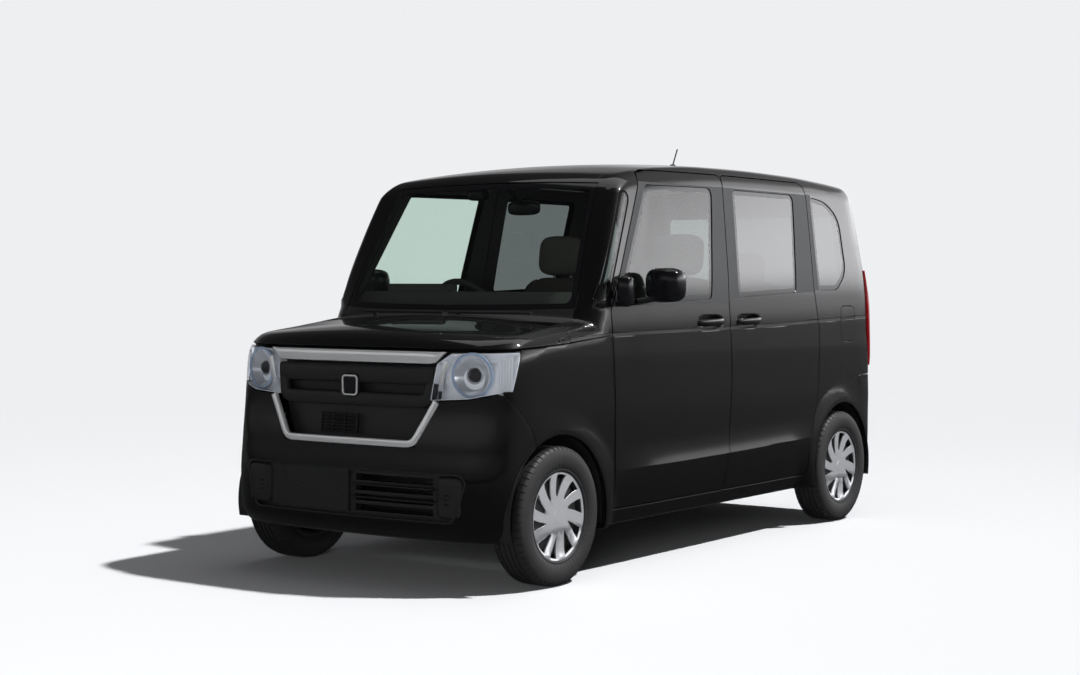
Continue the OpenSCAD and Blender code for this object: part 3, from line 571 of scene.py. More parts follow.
# Outlines of the panels, seen from the side (y, z), the front (x, z) or above (x, y).
outlines = {
    "frontDoor": [(-0.830, 0.263), (-0.834, 0.721), (-0.861, 1.093), (-0.546, 1.642), (-0.504, 1.681), (-0.420, 1.697),
                  (0.177, 1.703), (0.123, 1.125), (0.141, 0.764), (0.102, 0.263)],
    "frontDoorRound": [0.03, 0.3, 0.06, 0.25, 0.05, 0.1, 0.04, 0.5, 0.6, 0.03],
    "rearDoor": [(0.102, 0.263), (0.141, 0.764), (0.123, 1.125), (0.177, 1.703), (0.949, 1.705), (0.989, 1.685),
                 (1.008, 1.636), (0.981, 1.170), (1.026, 0.978), (1.018, 0.727), (0.999, 0.600), (0.955, 0.500),
                 (0.927, 0.400), (0.905, 0.263)],
    "rearDoorRound": [0.03, 0.6, 0.5, 0.04, 0.05, 0.03, 0.1, 0.4, 0.3, 0.3, 0.2, 0.2, 0.2, 0.03],
    "frontGlass": [(-0.800, 1.118), (-0.494, 1.620), (0.061, 1.629), (-0.038, 1.142)],
    "rearGlass": [(0.225, 1.150), (0.269, 1.629), (0.857, 1.630), (0.785, 1.170)],
    "quarterGlass": [(1.039, 1.175), (1.054, 1.632), (1.223, 1.614), (1.351, 1.536), (1.367, 1.264), (1.247, 1.178)],
    "cornerGlass": [(-0.935, 1.128), (-0.884, 1.128), (-0.646, 1.560), (-0.661, 1.590), (-0.700, 1.590)],
    "tailgate": [(-0.575, 0.56), (0.575, 0.56), (0.6095, 0.735), (0.6155, 1.276), (0.5725, 1.554), (0.5425, 1.700),
                 (0.534, 1.9), (-0.534, 1.9), (-0.5425, 1.700), (-0.5725, 1.554), (-0.6155, 1.276), (-0.6095, 0.735)],
    "tailGlass": [(-0.5325, 1.15), (0.5325, 1.15), (0.5025, 1.565), (-0.5025, 1.565)],
    "screen": [(-0.618, 1.100), (-0.4, 1.093), (0, 1.089), (0.4, 1.093), (0.618, 1.100), (0.552, 1.628),
               (0.3, 1.637), (0, 1.640), (-0.3, 1.637), (-0.552, 1.628)],
    "lamp": [(0.473, 0.937), (0.413, 0.892), (0.391, 0.742), (0.56, 0.752), (0.68, 0.776), (0.80, 0.80), (0.80, 0.943)],
    "lampSide": [(-1.9, 0.6), (-1.5625, 0.6), (-1.513, 0.784), (-1.466, 0.943), (-1.46, 1.1), (-1.9, 1.1)],
    "trimOuter": [(-0.339, 0.562), (0.339, 0.562), (0.439, 0.742), (0.45, 0.9475), (-0.45, 0.9475), (-0.439, 0.742)],
    "recess": [(-0.511, 0.277), (0.511, 0.277), (0.545, 0.33), (0.572, 0.44), (0.55, 0.466), (-0.55, 0.466),
               (-0.572, 0.44), (-0.545, 0.33)],
    "bonnetSide": [(-1.9, 0.9475), (-1.5, 0.9475), (-1.155, 0.964), (-1.148, 1.3), (-1.9, 1.3)],
    "fuelLid": [(1.2725, 0.9125), (1.4375, 0.9125), (1.4375, 1.0915), (1.2725, 1.0915)],
    "tailLampSide": [(1.642, 0.779), (1.597, 0.96), (1.597, 1.11), (1.605, 1.276), (1.9, 1.276), (1.9, 0.779)],
}
gap, edge, panelDepth = shared["gap"], shared["edge"], shared["panelDepth"]
frontDoorLine = rounded(outlines["frontDoor"], outlines["frontDoorRound"])
rearDoorLine = rounded(outlines["rearDoor"], outlines["rearDoorRound"])
glassLines = {
    "frontGlass": rounded(outlines["frontGlass"], [0.02, 0.03, 0.03, 0.03]),
    "rearGlass": rounded(outlines["rearGlass"], [0.03, 0.03, 0.03, 0.03]),
    "quarterGlass": rounded(outlines["quarterGlass"], [0.03, 0.03, 0.3, 0.24, 0.16, 0.12], 7),
    "cornerGlass": rounded(outlines["cornerGlass"], [0.012, 0.012, 0.05, 0.02, 0.03]),
}
fuelLidLine = rounded(outlines["fuelLid"], 0.045)
tailGlassLine = rounded(outlines["tailGlass"], 0.04)
recessLine = rounded(outlines["recess"], 0.02)
frontArch = disc((shared["frontAxle"], shared["hubHeight"]), shared["arch"])
rearArch = disc((shared["rearAxle"], shared["hubHeight"]), shared["arch"])
both = (("left", 1), ("right", -1))
sashes = [[(-0.865, 1.108), (-0.540, 1.640), (0.19, 1.646), (0.13, 1.118)],
          [(0.05, 1.132), (0.11, 1.646), (1.062, 1.646), (1.05, 1.168)]]
sideFinish = [paint, cabinPlastic, satinBlack, sashTape]


def sideMarks(points, faces):
    # Which of the side finishes each face has: the rail's floor in satin black (a real rail on the rear quarter;
    # forward of it, painted shade along the crease groove), the tape round the windows, or paint.
    marks = []
    for face in faces:
        c = points[face].mean(0)
        # Painted shade: forward of the rear quarter the groove's floor is satin black, where the real body has only a
        # shadowed crease in its paint.
        if abs(c[2] - float(form["rail"](c[1]))) < form["railHalf"] - 0.65 * form["railWall"]:
            marks.append(2)
        else:
            marks.append(3 if any(inOutline(sash, c[1], c[2]) for sash in sashes) else 0)
    return marks


def sashLines(patch):
    for sash in sashes:
        cutAlong(patch, "side", sash)


def forSide(names, label, sign):
    # A name with a gap in it is said for each side; any other is said once.
    return [name.format(label) for name in names if sign > 0 or "{}" in name]


def sidePanels(name, data, material, body, stands, depth=panelDepth):
    lining = 1 if isinstance(material, list) else 0
    marks = sideMarks(data[0], data[1]) if lining else None
    for label, sign in both:
        use = data if sign > 0 else flipped(data)
        thing = shellMesh(f"{name}_{label}", *use, depth, edge, marks, lining)
        dress(thing, material, body.format(label), forSide(stands, label, sign))


# Doors. The region round the handle bowls is cut finer.
bowlRegion = [("side", (-0.19, 0.985), (0.44, 1.075), 2)]
sideLines = (railLines, creaseLine, flareLines)
data = cutPanel(((0.30, -0.90, 0.2), (0.80, 0.22, 1.74)), [
    ("side", grown(frontDoorLine, -gap - edge), True),
    ("side", grown(glassLines["frontGlass"], 0.010), False),
], 0, (*sideLines, sashLines), bowlRegion)
sidePanels("frontDoorSkin", data, sideFinish, "front_door_{}", ["front_door_{}"])
data = cutPanel(((0.30, 0.05, 0.2), (0.80, 1.06, 1.74)), [
    ("side", grown(rearDoorLine, -gap - edge), True),
    ("side", grown(glassLines["rearGlass"], 0.010), False),
], 0, (*sideLines, sashLines), bowlRegion)
sidePanels("rearDoorSkin", data, sideFinish, "root", ["rear_door_left", "rear_door_right"])
say("doors")

# Body side with its pillars, sill and quarter.
sideLine = [(-0.837, 0.15), (-0.837, 0.263), (-0.841, 0.721), (-0.868, 0.9885), (-1.155, 0.9665), (-1.1455, 1.3),
            (-1.1455, 1.9), (1.9, 1.9), (1.9, 0.7375), (1.489, 0.7375), (1.489, 0.15)]
data = cutPanel(((0.30, -1.20, 0.1), (0.80, 1.75, 1.85)), [
    ("side", grown(sideLine, -edge), True),
    ("side", grown(frontDoorLine, gap + edge), False),
    ("side", grown(rearDoorLine, gap + edge), False),
    ("side", grown(rearArch, edge), False),
    ("side", grown(glassLines["cornerGlass"], 0.004 + edge), False),
    ("side", grown(glassLines["quarterGlass"], 0.004 + edge), False),
    ("side", grown(fuelLidLine, 0.0015 + edge), False),
    ("front", grown(outlines["screen"], 0.003), False),
    ("top", [(-0.62, -1.2), (0.62, -1.2), (0.62, -1.0), (0.60, -0.93), (-0.60, -0.93), (-0.62, -1.0)], False),
    ("top", [(-0.537, -0.9), (0.537, -0.9), (0.537, 1.514), (-0.537, 1.514)], False),
], 0, sideLines)
say("body side cut")
tailOutline = grown(outlines["tailgate"], gap + edge)
lampHeights = (0.779, 1.276)
patch = patchOf(data)
cutAlong(patch, "front", [(a, b) for a, b in tailOutline if a > 0.4 and b < 1.8], False)
cutAlong(patch, "side", outlines["tailLampSide"])


def takenOut(c):
    behindLamp = lampHeights[0] < c.z < lampHeights[1] and inOutline(outlines["tailLampSide"], c.y, c.z)
    return behindLamp or c.y > 1.5125 and inOutline(tailOutline, c.x, c.z)


drop = [face for face in patch.faces if takenOut(face.calc_center_median())]
bmesh.ops.delete(patch, geom=drop, context="FACES")
sidePanels("bodySide", patchArrays(patch), sideFinish, "root", ["body_shell"])
say("body side")

# Front fenders.
fenderLine = [(-1.5055, 0.9435), (-1.5535, 0.775), (-1.417, 0.627), (-1.384, 0.565), (-1.231, 0.30), (-0.95, 0.15),
              (-0.837, 0.15), (-0.837, 0.263), (-0.841, 0.721), (-0.868, 0.9885), (-1.155, 0.9635)]
data = cutPanel(((0.30, -1.60, 0.1), (0.80, -0.80, 1.0)), [
    ("side", grown(fenderLine, -gap / 2 - edge), True),
    ("side", grown(frontArch, edge), False),
    ("side", [(-1.9, 0.784), (-1.513, 0.784), (-1.466, 0.943), (-1.46, 1.1), (-1.9, 1.1)], False),
], 0, (creaseLine, flareLines))
sidePanels("fender", data, paint, "root", ["front_fenders"])

# Bonnet, cowl and roof. The cowl's front corners are cut back for the opening bonnet.
data = cutPanel(((-0.80, -1.75, 0.90), (0.80, -1.10, 1.2)), [
    ("side", grown(outlines["bonnetSide"], -gap / 2 - edge), True)])
dress(shellMesh("bonnetSkin", *data, panelDepth, edge), paint, "bonnet", ["bonnet"])
data = cutPanel(((-0.64, -1.2, 0.95), (0.64, -0.9, 1.2)), [
    ("side", [(-1.146, 0.9), (-0.9, 0.9), (-0.9, 1.3), (-1.146, 1.3)], True),
    ("top", [(-0.62, -1.07), (-0.44, -1.134), (0.44, -1.134), (0.62, -1.07), (0.62, -1.0), (0.60, -0.93),
             (-0.60, -0.93), (-0.62, -1.0)], True),
    ("front", grown(outlines["screen"], 0.002), False)])
dress(shellMesh("cowlPanel", *data, 0.008, 0.001), satinBlack, "root")
data = cutPanel(((-0.60, -0.95, 1.55), (0.60, 1.60, 1.85)), [
    ("top", [(-0.535, -0.9), (0.535, -0.9), (0.535, 1.5115), (-0.535, 1.5115)], True),
    ("front", grown(outlines["screen"], 0.003), False)])
data = dropFaces(data, lambda c: c[1] < 1.4 and c[2] < 1.60)
dress(shellMesh("roofSkin", *data, panelDepth, edge, None, 1), [paint, cabinPale], "root", ["roof_panel"])
say("bonnet and roof")

# Bumpers.
bumperSide = [(-1.9, 0.10), (-1.54, 0.10), (-1.231, 0.30), (-1.384, 0.565), (-1.417, 0.627), (-1.5535, 0.775),
              (-1.5055, 0.9435), (-1.9, 0.9435)]
lampGrown = grown(outlines["lamp"], 0.003)
data = cutPanel(((-0.80, -1.75, 0.10), (0.80, -1.25, 0.96)), [
    ("side", grown(bumperSide, -gap / 2 - edge), True),
    ("side", grown(frontArch, edge), False),
    ("front", grown(outlines["trimOuter"], 0.002), False),
    ("front", lampGrown, False),
    ("front", [(-a, b) for a, b in lampGrown], False),
    ("front", recessLine, False),
], 0, (flareLines,))
data = dropFaces(data, lambda c: c[2] > (0.7435 if abs(c[0]) < 0.5 else 0.80))
dress(shellMesh("frontBumperSkin", *data, panelDepth, edge), paint, "root", ["front_bumper"])
rearSide = [(1.489, 0.10), (1.9, 0.10), (1.9, 0.7345), (1.489, 0.7345)]
data = cutPanel(((-0.80, 1.40, 0.10), (0.80, 1.75, 0.80)), [
    ("side", grown(rearSide, -edge), True),
    ("side", grown(rearArch, edge), False),
    ("front", tailOutline, False)], 0, (creaseLine, flareLines))
dress(shellMesh("rearBumperSkin", *data, panelDepth, edge), paint, "root", ["rear_bumper"])

# Tailgate, its glass and the tail lamps.
data = cutPanel(((-0.70, 1.45, 0.50), (0.70, 1.75, 1.80)), [
    ("front", grown(outlines["tailgate"], -gap - edge), True),
    ("top", [(-1, 1.5165), (1, 1.5165), (1, 1.9), (-1, 1.9)], True),
    ("front", tailGlassLine, False)])
dress(shellMesh("tailgateSkin", *data, panelDepth, edge), paint, "tailgate", ["tailgate"])
data = cutPanel(((-0.60, 1.45, 1.1), (0.60, 1.75, 1.62)), [("front", grown(tailGlassLine, -0.004), True)], -0.003)
dress(shellMesh("tailGlass", *data, 0.004, 0.001), darkGlass, "tailgate", ["tailgate_window"])
data = cutPanel(((0.55, 1.55, 0.75), (0.80, 1.75, 1.30)), [
    ("side", grown(outlines["tailLampSide"], -0.003), True),
    ("front", [(0.6215, 0.782), (0.9, 0.782), (0.9, 1.273), (0.6215, 1.273)], True)], 0.010)
sidePanels("tailLens", data, lampRed, "root", ["tail_lamps"], 0.012)
say("rear")

# Fuel lid and the pocket behind it.
lidLimits = ((0.65, 1.2, 0.88), (0.80, 1.5, 1.12))
data = cutPanel(lidLimits, [("side", grown(fuelLidLine, -0.0015 - edge), True)], 0, (railLines,))
dress(shellMesh("fuelLidSkin", *data, 0.012, edge), paint, "fuel_lid", ["fuel_lid"])
data = cutPanel(lidLimits, [("side", grown(fuelLidLine, 0.008), True)], -0.026)
dress(shellMesh("fuelPocket", *data, 0.003, 0.001), satinBlack, "root")

# Glass, each pane with its black border.
def glassPiece(name, data, line, look, glass, body, stands):
    patch = patchOf(data)
    cutAlong(patch, look, line)
    points, faces, normals = patchArrays(patch, 0, False)
    middles = [points[face].mean(0)[list(lookAxes[look])] for face in faces]
    marks = [0 if inOutline(line, u, v) else 1 for u, v in middles]
    dress(shellMesh(name, points, faces, normals, 0.004, 0.001, marks), [glass, glossBlack], body, stands)


data = cutPanel(((-0.70, -1.12, 1.05), (0.70, -0.60, 1.68)), [("front", grown(outlines["screen"], -0.002), True)], -0.002)
screenClear = [(-0.590, 1.120), (-0.3, 1.113), (0, 1.110), (0.3, 1.113), (0.590, 1.120), (0.531, 1.600), (0.3, 1.611),
               (0, 1.614), (-0.3, 1.611), (-0.531, 1.600)]
glassPiece("screenGlass", data, rounded(screenClear, 0.03), "front", frontGlass, "root", ["windscreen"])
# Each pane: its glass, body, slot and CAD node, how far it reaches past its outline, and its border's width.
panes = {
    "frontGlass": (doorGlass, "front_door_{}", "clear_glass", "front_window_{}", 0.007, 0.014),
    "rearGlass": (darkGlass, "root", "dark_glass", "rear_door_windows", 0.007, 0.014),
    "quarterGlass": (darkGlass, "root", "dark_glass", "quarter_windows", 0.002, 0.02),
    "cornerGlass": (doorGlass, "root", "clear_glass", "corner_windows", 0.002, 0.010),
}
for key, (glass, body, slotName, stood, reach, band) in panes.items():
    line = glassLines[key]
    lo, hi = np.min(line, axis=0) - 0.03, np.max(line, axis=0) + 0.03
    data = cutPanel(((0.5, *lo), (0.8, *hi)), [("side", grown(line, reach), True)], -0.004)
    for label, sign in both:
        glassPiece(f"{key}_{label}", data if sign > 0 else flipped(data), grown(line, -band), "side", glass,
                   body.format(label), forSide([stood], label, sign))
say("glass")


# Makers for the smaller pieces.
def faceNormals(points, faces):
    normals = np.zeros((len(points), 3))
    for face in faces:
        p = points[face]
        n = np.cross(p[2] - p[0], p[-1] - p[1]) if len(face) > 3 else np.cross(p[1] - p[0], p[2] - p[0])
        for v in face:
            normals[v] += n
    return normals / np.maximum(np.linalg.norm(normals, axis=1, keepdims=True), 1e-12)


def gridFaces(rows, columns, closeRows=False, closeColumns=False):
    faces = []
    for i in range(rows if closeRows else rows - 1):
        for j in range(columns if closeColumns else columns - 1):
            a, b = i * columns + j, i * columns + (j + 1) % columns
            c, d = (i + 1) % rows * columns + (j + 1) % columns, (i + 1) % rows * columns + j
            faces.append([a, b, c, d])
    return faces


def outward(thing):
    bpy.ops.object.select_all(action="DESELECT")
    bpy.context.view_layer.objects.active = thing
    thing.select_set(True)
    bpy.ops.object.mode_set(mode="EDIT")
    bpy.ops.mesh.select_all(action="SELECT")
    bpy.ops.mesh.remove_doubles(threshold=1e-5)
    bpy.ops.mesh.normals_make_consistent(inside=False)
    bpy.ops.object.mode_set(mode="OBJECT")
    bpy.ops.object.shade_smooth_by_angle(angle=math.radians(38))
    thing.select_set(False)
    return thing


def turned(name, profile, centre, axis, count=48, closed=True):
    # A profile of (radius, height along the axis) is spun about the axis.
    w = Vector(axis).normalized()
    u = w.orthogonal().normalized()
    v = w.cross(u)
    points = []
    for r, h in profile:
        for k in range(count):
            a = 2 * math.pi * k / count
            points.append(Vector(centre) + w * h + (u * math.cos(a) + v * math.sin(a)) * r)
    faces = gridFaces(len(profile), count, closed, True)
    return outward(buildMesh(name, np.array([p[:] for p in points]), faces))


def ribbon(name, path, widths, bulge, front=(0, -1, 0), count=14, square=0.7):
    # A bar of rounded section along a path; widths are its half widths across the path.
    f = np.array(front, float)
    path = np.array(path, float)
    points = []
    for k, p in enumerate(path):
        along = path[min(k + 1, len(path) - 1)] - path[max(k - 1, 0)]
        side = np.cross(along, f)
        side /= np.linalg.norm(side)
        ahead = np.cross(side, along)
        ahead /= np.linalg.norm(ahead)
        if ahead @ f < 0:
            ahead = -ahead
        w = widths[k] if isinstance(widths, (list, tuple)) else widths
        b = bulge[k] if isinstance(bulge, (list, tuple)) else bulge
        for j in range(count):
            a = 2 * math.pi * j / count
            c, s = math.cos(a), math.sin(a)
            points.append(p + side * w * math.copysign(abs(c) ** square, c)
                          + ahead * b * math.copysign(abs(s) ** square, s))
    faces = gridFaces(len(path), count, False, True)
    faces.append(list(range(count))[::-1])
    faces.append([len(path) * count - count + j for j in range(count)])
    return outward(buildMesh(name, np.array(points), faces))


def blob(name, centre, half, power=0.5, tilt=0, rows=28, count=40, shape=None):
    # A closed rounded form: a ball squared off by its power, tilted about the X axis.
    points = []
    for i in range(rows + 1):
        a = -math.pi / 2 + math.pi * i / rows
        for j in range(count):
            b = 2 * math.pi * j / count
            q = [math.cos(a) * math.cos(b), math.cos(a) * math.sin(b), math.sin(a)]
            big = max(abs(x) for x in q)
            q = [x / big for x in q]
            size = sum(abs(x) ** (2 / power) for x in q) ** (power / 2)
            q = np.array([x / size for x in q])
            if shape:
                q = shape(q)
            points.append(q * np.array(half))
    points = np.array(points)
    c, s = math.cos(tilt), math.sin(tilt)
    turnAbout = np.array([[1, 0, 0], [0, c, s], [0, -s, c]])
    points = points @ turnAbout + np.array(centre)
    return outward(buildMesh(name, points, gridFaces(rows + 1, count, False, True)))


# Tyres: rounded walls, four grooves round the tread and cross cuts at the shoulders.
wheel = {"width": 0.155, "outer": 0.2782, "bead": 0.179, "blocks": 58, "grooves": (-0.036, -0.0125, 0.0125, 0.036),
         "groove": 0.0034, "chamfer": 0.0006, "deep": 0.006, "cutDeep": 0.0045, "cutFrom": 0.0445, "cutTo": 0.072}


def tyreProfile():
    half = wheel["width"] / 2
    wall = [(half * 0.78, wheel["bead"]), (half * 0.90, 0.190), (half * 0.985, 0.212), (half, 0.232), (half * 0.985, 0.250),
            (half * 0.93, 0.2635), (half * 0.87, 0.2705), (half * 0.80, 0.2752), (half * 0.70, 0.2772)]
    tread, wide, top = [], wheel["groove"], wheel["outer"]
    for g in reversed(wheel["grooves"]):
        tread += [(g + wide + wheel["chamfer"], top), (g + wide, top - wheel["deep"]),
                  (g - wide, top - wheel["deep"]), (g - wide - wheel["chamfer"], top)]
    return wall + tread + [(-x, r) for x, r in reversed(wall)]


def makeTyre(name, centre):
    profile = tyreProfile()
    angles = []
    for k in range(wheel["blocks"]):
        for part, cut in ((0, 0), (0.80, 0), (0.83, 1), (0.95, 1), (0.98, 0)):
            angles.append(((k + part) * 2 * math.pi / wheel["blocks"], cut))
    points = []
    for a, cut in angles:
        for x, r in profile:
            if cut and wheel["cutFrom"] < abs(x) < wheel["cutTo"]:
                r = r - wheel["cutDeep"] * (1 if r > 0.27 else 0.5)
            points.append((centre[0] + x, centre[1] + r * math.cos(a), centre[2] + r * math.sin(a)))
    return outward(buildMesh(name, np.array(points), gridFaces(len(angles), len(profile), True, True)))


# Wheel covers: ten swept spokes, wide and narrow in turn, on a dished disc.
cover = {"face": 0.711, "swirl": 2.6, "start": 0.080, "stop": 0.168, "spokes": 10, "shares": (0.165, 0.215), "lean": 0.03}
cover["radii"] = [0.0015, 0.012, 0.026, 0.0275, 0.042, 0.056, 0.068, 0.080, 0.086, 0.096, 0.108, 0.120, 0.132, 0.144,
                  0.156, 0.1635, 0.168, 0.174, 0.181, 0.188, 0.193, 0.196]
cover["dish"] = curve([(0, 0.0045), (0.026, 0.0045), (0.0275, 0.0015), (0.06, 0.0025), (0.10, -0.001), (0.145, -0.0005),
                       (0.176, 0.006), (0.190, 0.005), (0.196, -0.003)])


def spokeAt(k, r):
    # The middle and the half width, as angles, of spoke k at radius r.
    odd, turnOne = k % 2, 2 * math.pi / cover["spokes"]
    t = np.clip((r - cover["start"]) / (cover["stop"] - cover["start"]), 0, 1)
    sweep = cover["swirl"] * (r - cover["start"]) * (1 - 0.25 * t)
    middle = turnOne * (k + (cover["lean"] if odd else -cover["lean"])) + sweep
    opening = 0.035 if r <= cover["start"] else 0.045 + 0.125 * t ** 0.55
    return middle, max((turnOne - 2 * opening) / 2 * (cover["shares"][odd] / 0.19), 0.02)


def makeCover(name, centre, sign):
    radii, dish = cover["radii"], cover["dish"]
    points = []
    for r in radii:
        inSpokes = float(softStep((r - 0.055) / 0.02) * softStep((0.176 - r) / 0.012))
        for k in range(cover["spokes"]):
            (mid, half), (nextMid, nextHalf) = spokeAt(k, r), spokeAt(k + 1, r)
            for a in (-1, -0.9, -0.6, -0.2, 0.2, 0.6, 0.9, 1):
                crown = 0.0055 * (1 - a * a) - 0.0035 * (a > 0.7) * (k % 2) - 0.001
                points.append((r, mid + a * half, float(dish(r)) + crown * inSpokes))
            lo, hi = mid + half, nextMid - nextHalf
            for share in (0.33, 0.67):
                points.append((r, lo + (hi - lo) * share, float(dish(r)) - 0.004 * inSpokes))
    columns = 10 * cover["spokes"]
    faces = []
    for i in range(len(radii) - 1):
        for j in range(columns):
            window = j % 10 in (7, 8, 9) and cover["start"] - 1e-6 <= radii[i] and radii[i + 1] <= cover["stop"] + 1e-6
            if not window:
                a, b = i * columns + j, i * columns + (j + 1) % columns
                faces.append([a, a + columns, b + columns, b])
    hub = len(points)
    points.append((0, 0, float(dish(0))))
    faces += [[hub, j, (j + 1) % columns] for j in range(columns)]
    made = np.array([(sign * (cover["face"] + h), centre[1] - sign * r * math.cos(a), centre[2] + r * math.sin(a))
                     for r, a, h in points])
    normals = faceNormals(made, faces)
    if (normals[hub][0] > 0) != (sign > 0):
        faces = [face[::-1] for face in faces]
        normals = -normals
    return shellMesh(name, made, faces, normals, 0.009, 0.0012)


for end in ("front", "rear"):
    for label, sign in both:
        key, centre = f"{end}_{label}", (sign * shared["track"], shared[end + "Axle"], shared["hubHeight"])
        dress(makeTyre(f"treadTyre_{key}", centre), tyreRubber, f"wheel_{key}", [f"tyre_{key}"])
        dress(makeCover(f"wheelCover_{key}", centre, sign), coverSilver, f"wheel_{key}")
say("wheels")

# Headlamps: a clear lens over a bright cup, with a ringed main lamp and a ribbed indicator.
lampFace = {
    "centre": (0.557, -1.590, 0.846), "aim": (0.22, -1, 0), "cupDepth": 0.055, "ring": 0.083, "ringThick": 0.006,
    "bowl": [(0.079, -0.004), (0.066, -0.022), (0.050, -0.034), (0.036, -0.038), (0.034, -0.030), (0.030, -0.030),
             (0.030, -0.046), (0.060, -0.044), (0.081, -0.014)],
    "eye": [(0.0005, -0.004), (0.010, -0.0055), (0.020, -0.011), (0.026, -0.019), (0.0285, -0.030), (0.0285, -0.045),
            (0.0005, -0.045)],
    "rim": 0.033, "rimThick": 0.003, "ribs": 6, "ribFrom": 0.652, "ribStep": 0.0075, "ribHeights": (0.805, 0.86, 0.915),
    "fin": ((0.436, -1.632, 0.785), (0.446, -1.634, 0.84), (0.462, -1.628, 0.898)),
}
lampLimits = ((0.36, -1.75, 0.70), (0.80, -1.40, 0.97))
lampCuts = [("front", grown(rounded(outlines["lamp"], 0.012), -0.003), True),
            ("side", grown(outlines["lampSide"], -0.003), True)]
lens = cutPanel(lampLimits, lampCuts, -0.0005)
cup = cutPanel(lampLimits, [(look, grown(line, -0.004), inside) for look, line, inside in lampCuts], -0.006)


def cupMesh(name, points, faces, normals, depth):
    # The reflector: the lens's own shape set back, with walls up to its edge, thickened inwards.
    count = len(points)
    wall = [[a, b, b + count, a + count] for a, b in rimOf(faces)]
    allPoints = np.concatenate([points, points - normals * np.array([[0.7, 1, 1]]) * depth])
    thing = buildMesh(name, allPoints, [[v + count for v in face] for face in faces] + wall)
    bpy.ops.object.select_all(action="DESELECT")
    bpy.context.view_layer.objects.active = thing
    thing.select_set(True)
    wrap = thing.modifiers.new("wall", "SOLIDIFY")
    wrap.thickness = 0.002
    wrap.offset = -1
    bpy.ops.object.modifier_apply(modifier="wall")
    bpy.ops.object.shade_smooth_by_angle(angle=math.radians(40))
    return thing


def circle(radius, thick, count):
    return [(radius + thick * math.cos(a), thick * math.sin(a)) for a in np.linspace(0, 2 * math.pi, count, endpoint=False)]


aim = Vector(lampFace["aim"]).normalized()
for label, sign in both:
    use = lens if sign > 0 else flipped(lens)
    dress(shellMesh(f"lampLens_{label}", *use, 0.003, 0.0015), lampLens, "root", ["headlamps"])
    use = cup if sign > 0 else flipped(cup)
    dress(cupMesh(f"lampCup_{label}", *use, lampFace["cupDepth"]), lampPale, "root")
    x, y, z = lampFace["centre"]
    centre, way = Vector((sign * x, y, z)), Vector((sign * aim.x, aim.y, aim.z))
    ring = circle(lampFace["ring"], lampFace["ringThick"], 12)
    dress(turned(f"lampRing_{label}", ring, centre - way * 0.004, way, 64), lampRing, "root")
    dress(turned(f"lampBowl_{label}", lampFace["bowl"], centre, way, 64), chrome, "root")
    dress(turned(f"lampEye_{label}", lampFace["eye"], centre, way, 40, False), glossBlack, "root")
    rim = circle(lampFace["rim"], lampFace["rimThick"], 10)
    dress(turned(f"lampRim_{label}", rim, centre - way * 0.024, way, 48), chrome, "root")
    for k in range(lampFace["ribs"]):
        x = lampFace["ribFrom"] + lampFace["ribStep"] * k
        y = float(form["noseByHeight"](lampFace["ribHeights"][1])) + float(form["noseByWidth"](x)) + 0.030
        path = [(sign * (x + 0.002 * n), y, z) for n, z in enumerate(lampFace["ribHeights"])]
        dress(ribbon(f"lampRib_{label}_{k}", path, 0.0026, 0.0026), lampPale, "root")
    path = [(sign * x, y, z) for x, y, z in lampFace["fin"]]
    dress(ribbon(f"lampFin_{label}", path, 0.011, 0.004), chrome, "root")
say("headlamps")


# Where the nose lies, for the pieces of the grille and the intake.
def noseAt(x, z, ahead=0.0):
    wide = abs(x) * form["widest"] / float(form["sideHalf"](z))
    return float(form["noseByHeight"](z)) + float(form["noseByWidth"](wide)) - ahead


def onNose(points, ahead=0.0):
    return [(x, noseAt(x, z, ahead), z) for x, z in points]


# Dark liners round the wheel arches.
liner = {"middle": 0.664, "halfWidth": 0.056, "halfThick": 0.0022, "past": 0.0065}
for label, sign in both:
    for axle in ("frontAxle", "rearAxle"):
        r = shared["arch"] + liner["past"]
        path = [(sign * liner["middle"], shared[axle] + r * math.cos(a), shared["hubHeight"] + r * math.sin(a))
                for a in np.radians(np.linspace(-12, 192, 52))]
        dress(ribbon(f"archLiner_{axle}_{label}", path, liner["halfThick"], liner["halfWidth"], (1, 0, 0), 16, 0.5),
              rubberBlack, "root")


def spaced(points, count):
    points = np.array(points, float)
    steps = np.concatenate([[0], np.cumsum(np.linalg.norm(np.diff(points, axis=0), axis=1))])
    wanted = np.linspace(0, steps[-1], count)
    return [tuple(np.interp(w, steps, points[:, k]) for k in range(points.shape[1])) for w in wanted]


# Grille: bright bar and surround, two dark wings, louvres and a blank emblem.
grille = {
    "back": [(-0.330, 0.572), (0.330, 0.572), (0.412, 0.742), (0.43, 0.93), (-0.43, 0.93), (-0.412, 0.742)],
    "barTop": 0.9355, "barHalf": 0.0235, "louvres": (0.606, 0.0135, 6), "ribs": (-0.17, 0.0633, 4), "emblem": 0.795,
    "frame": [(-0.036, 0.757), (0.036, 0.757), (0.038, 0.833), (-0.038, 0.833)],
}
data = cutPanel(((-0.5, -1.75, 0.5), (0.5, -1.5, 0.97)), [("front", grille["back"], True)], -0.052)
dress(shellMesh("grilleBack", *data, 0.004, 0.001), satinBlack, "root", ["grille"])


# A bar along the nose: its line, how far behind it, its half width and half depth.
def noseBar(name, line, ahead, wide, deep, material=satinBlack, stands=(), count=14, square=0.7):
    dress(ribbon(name, onNose(line, ahead), wide, deep, (0, -1, 0), count, square), material, "root", stands)


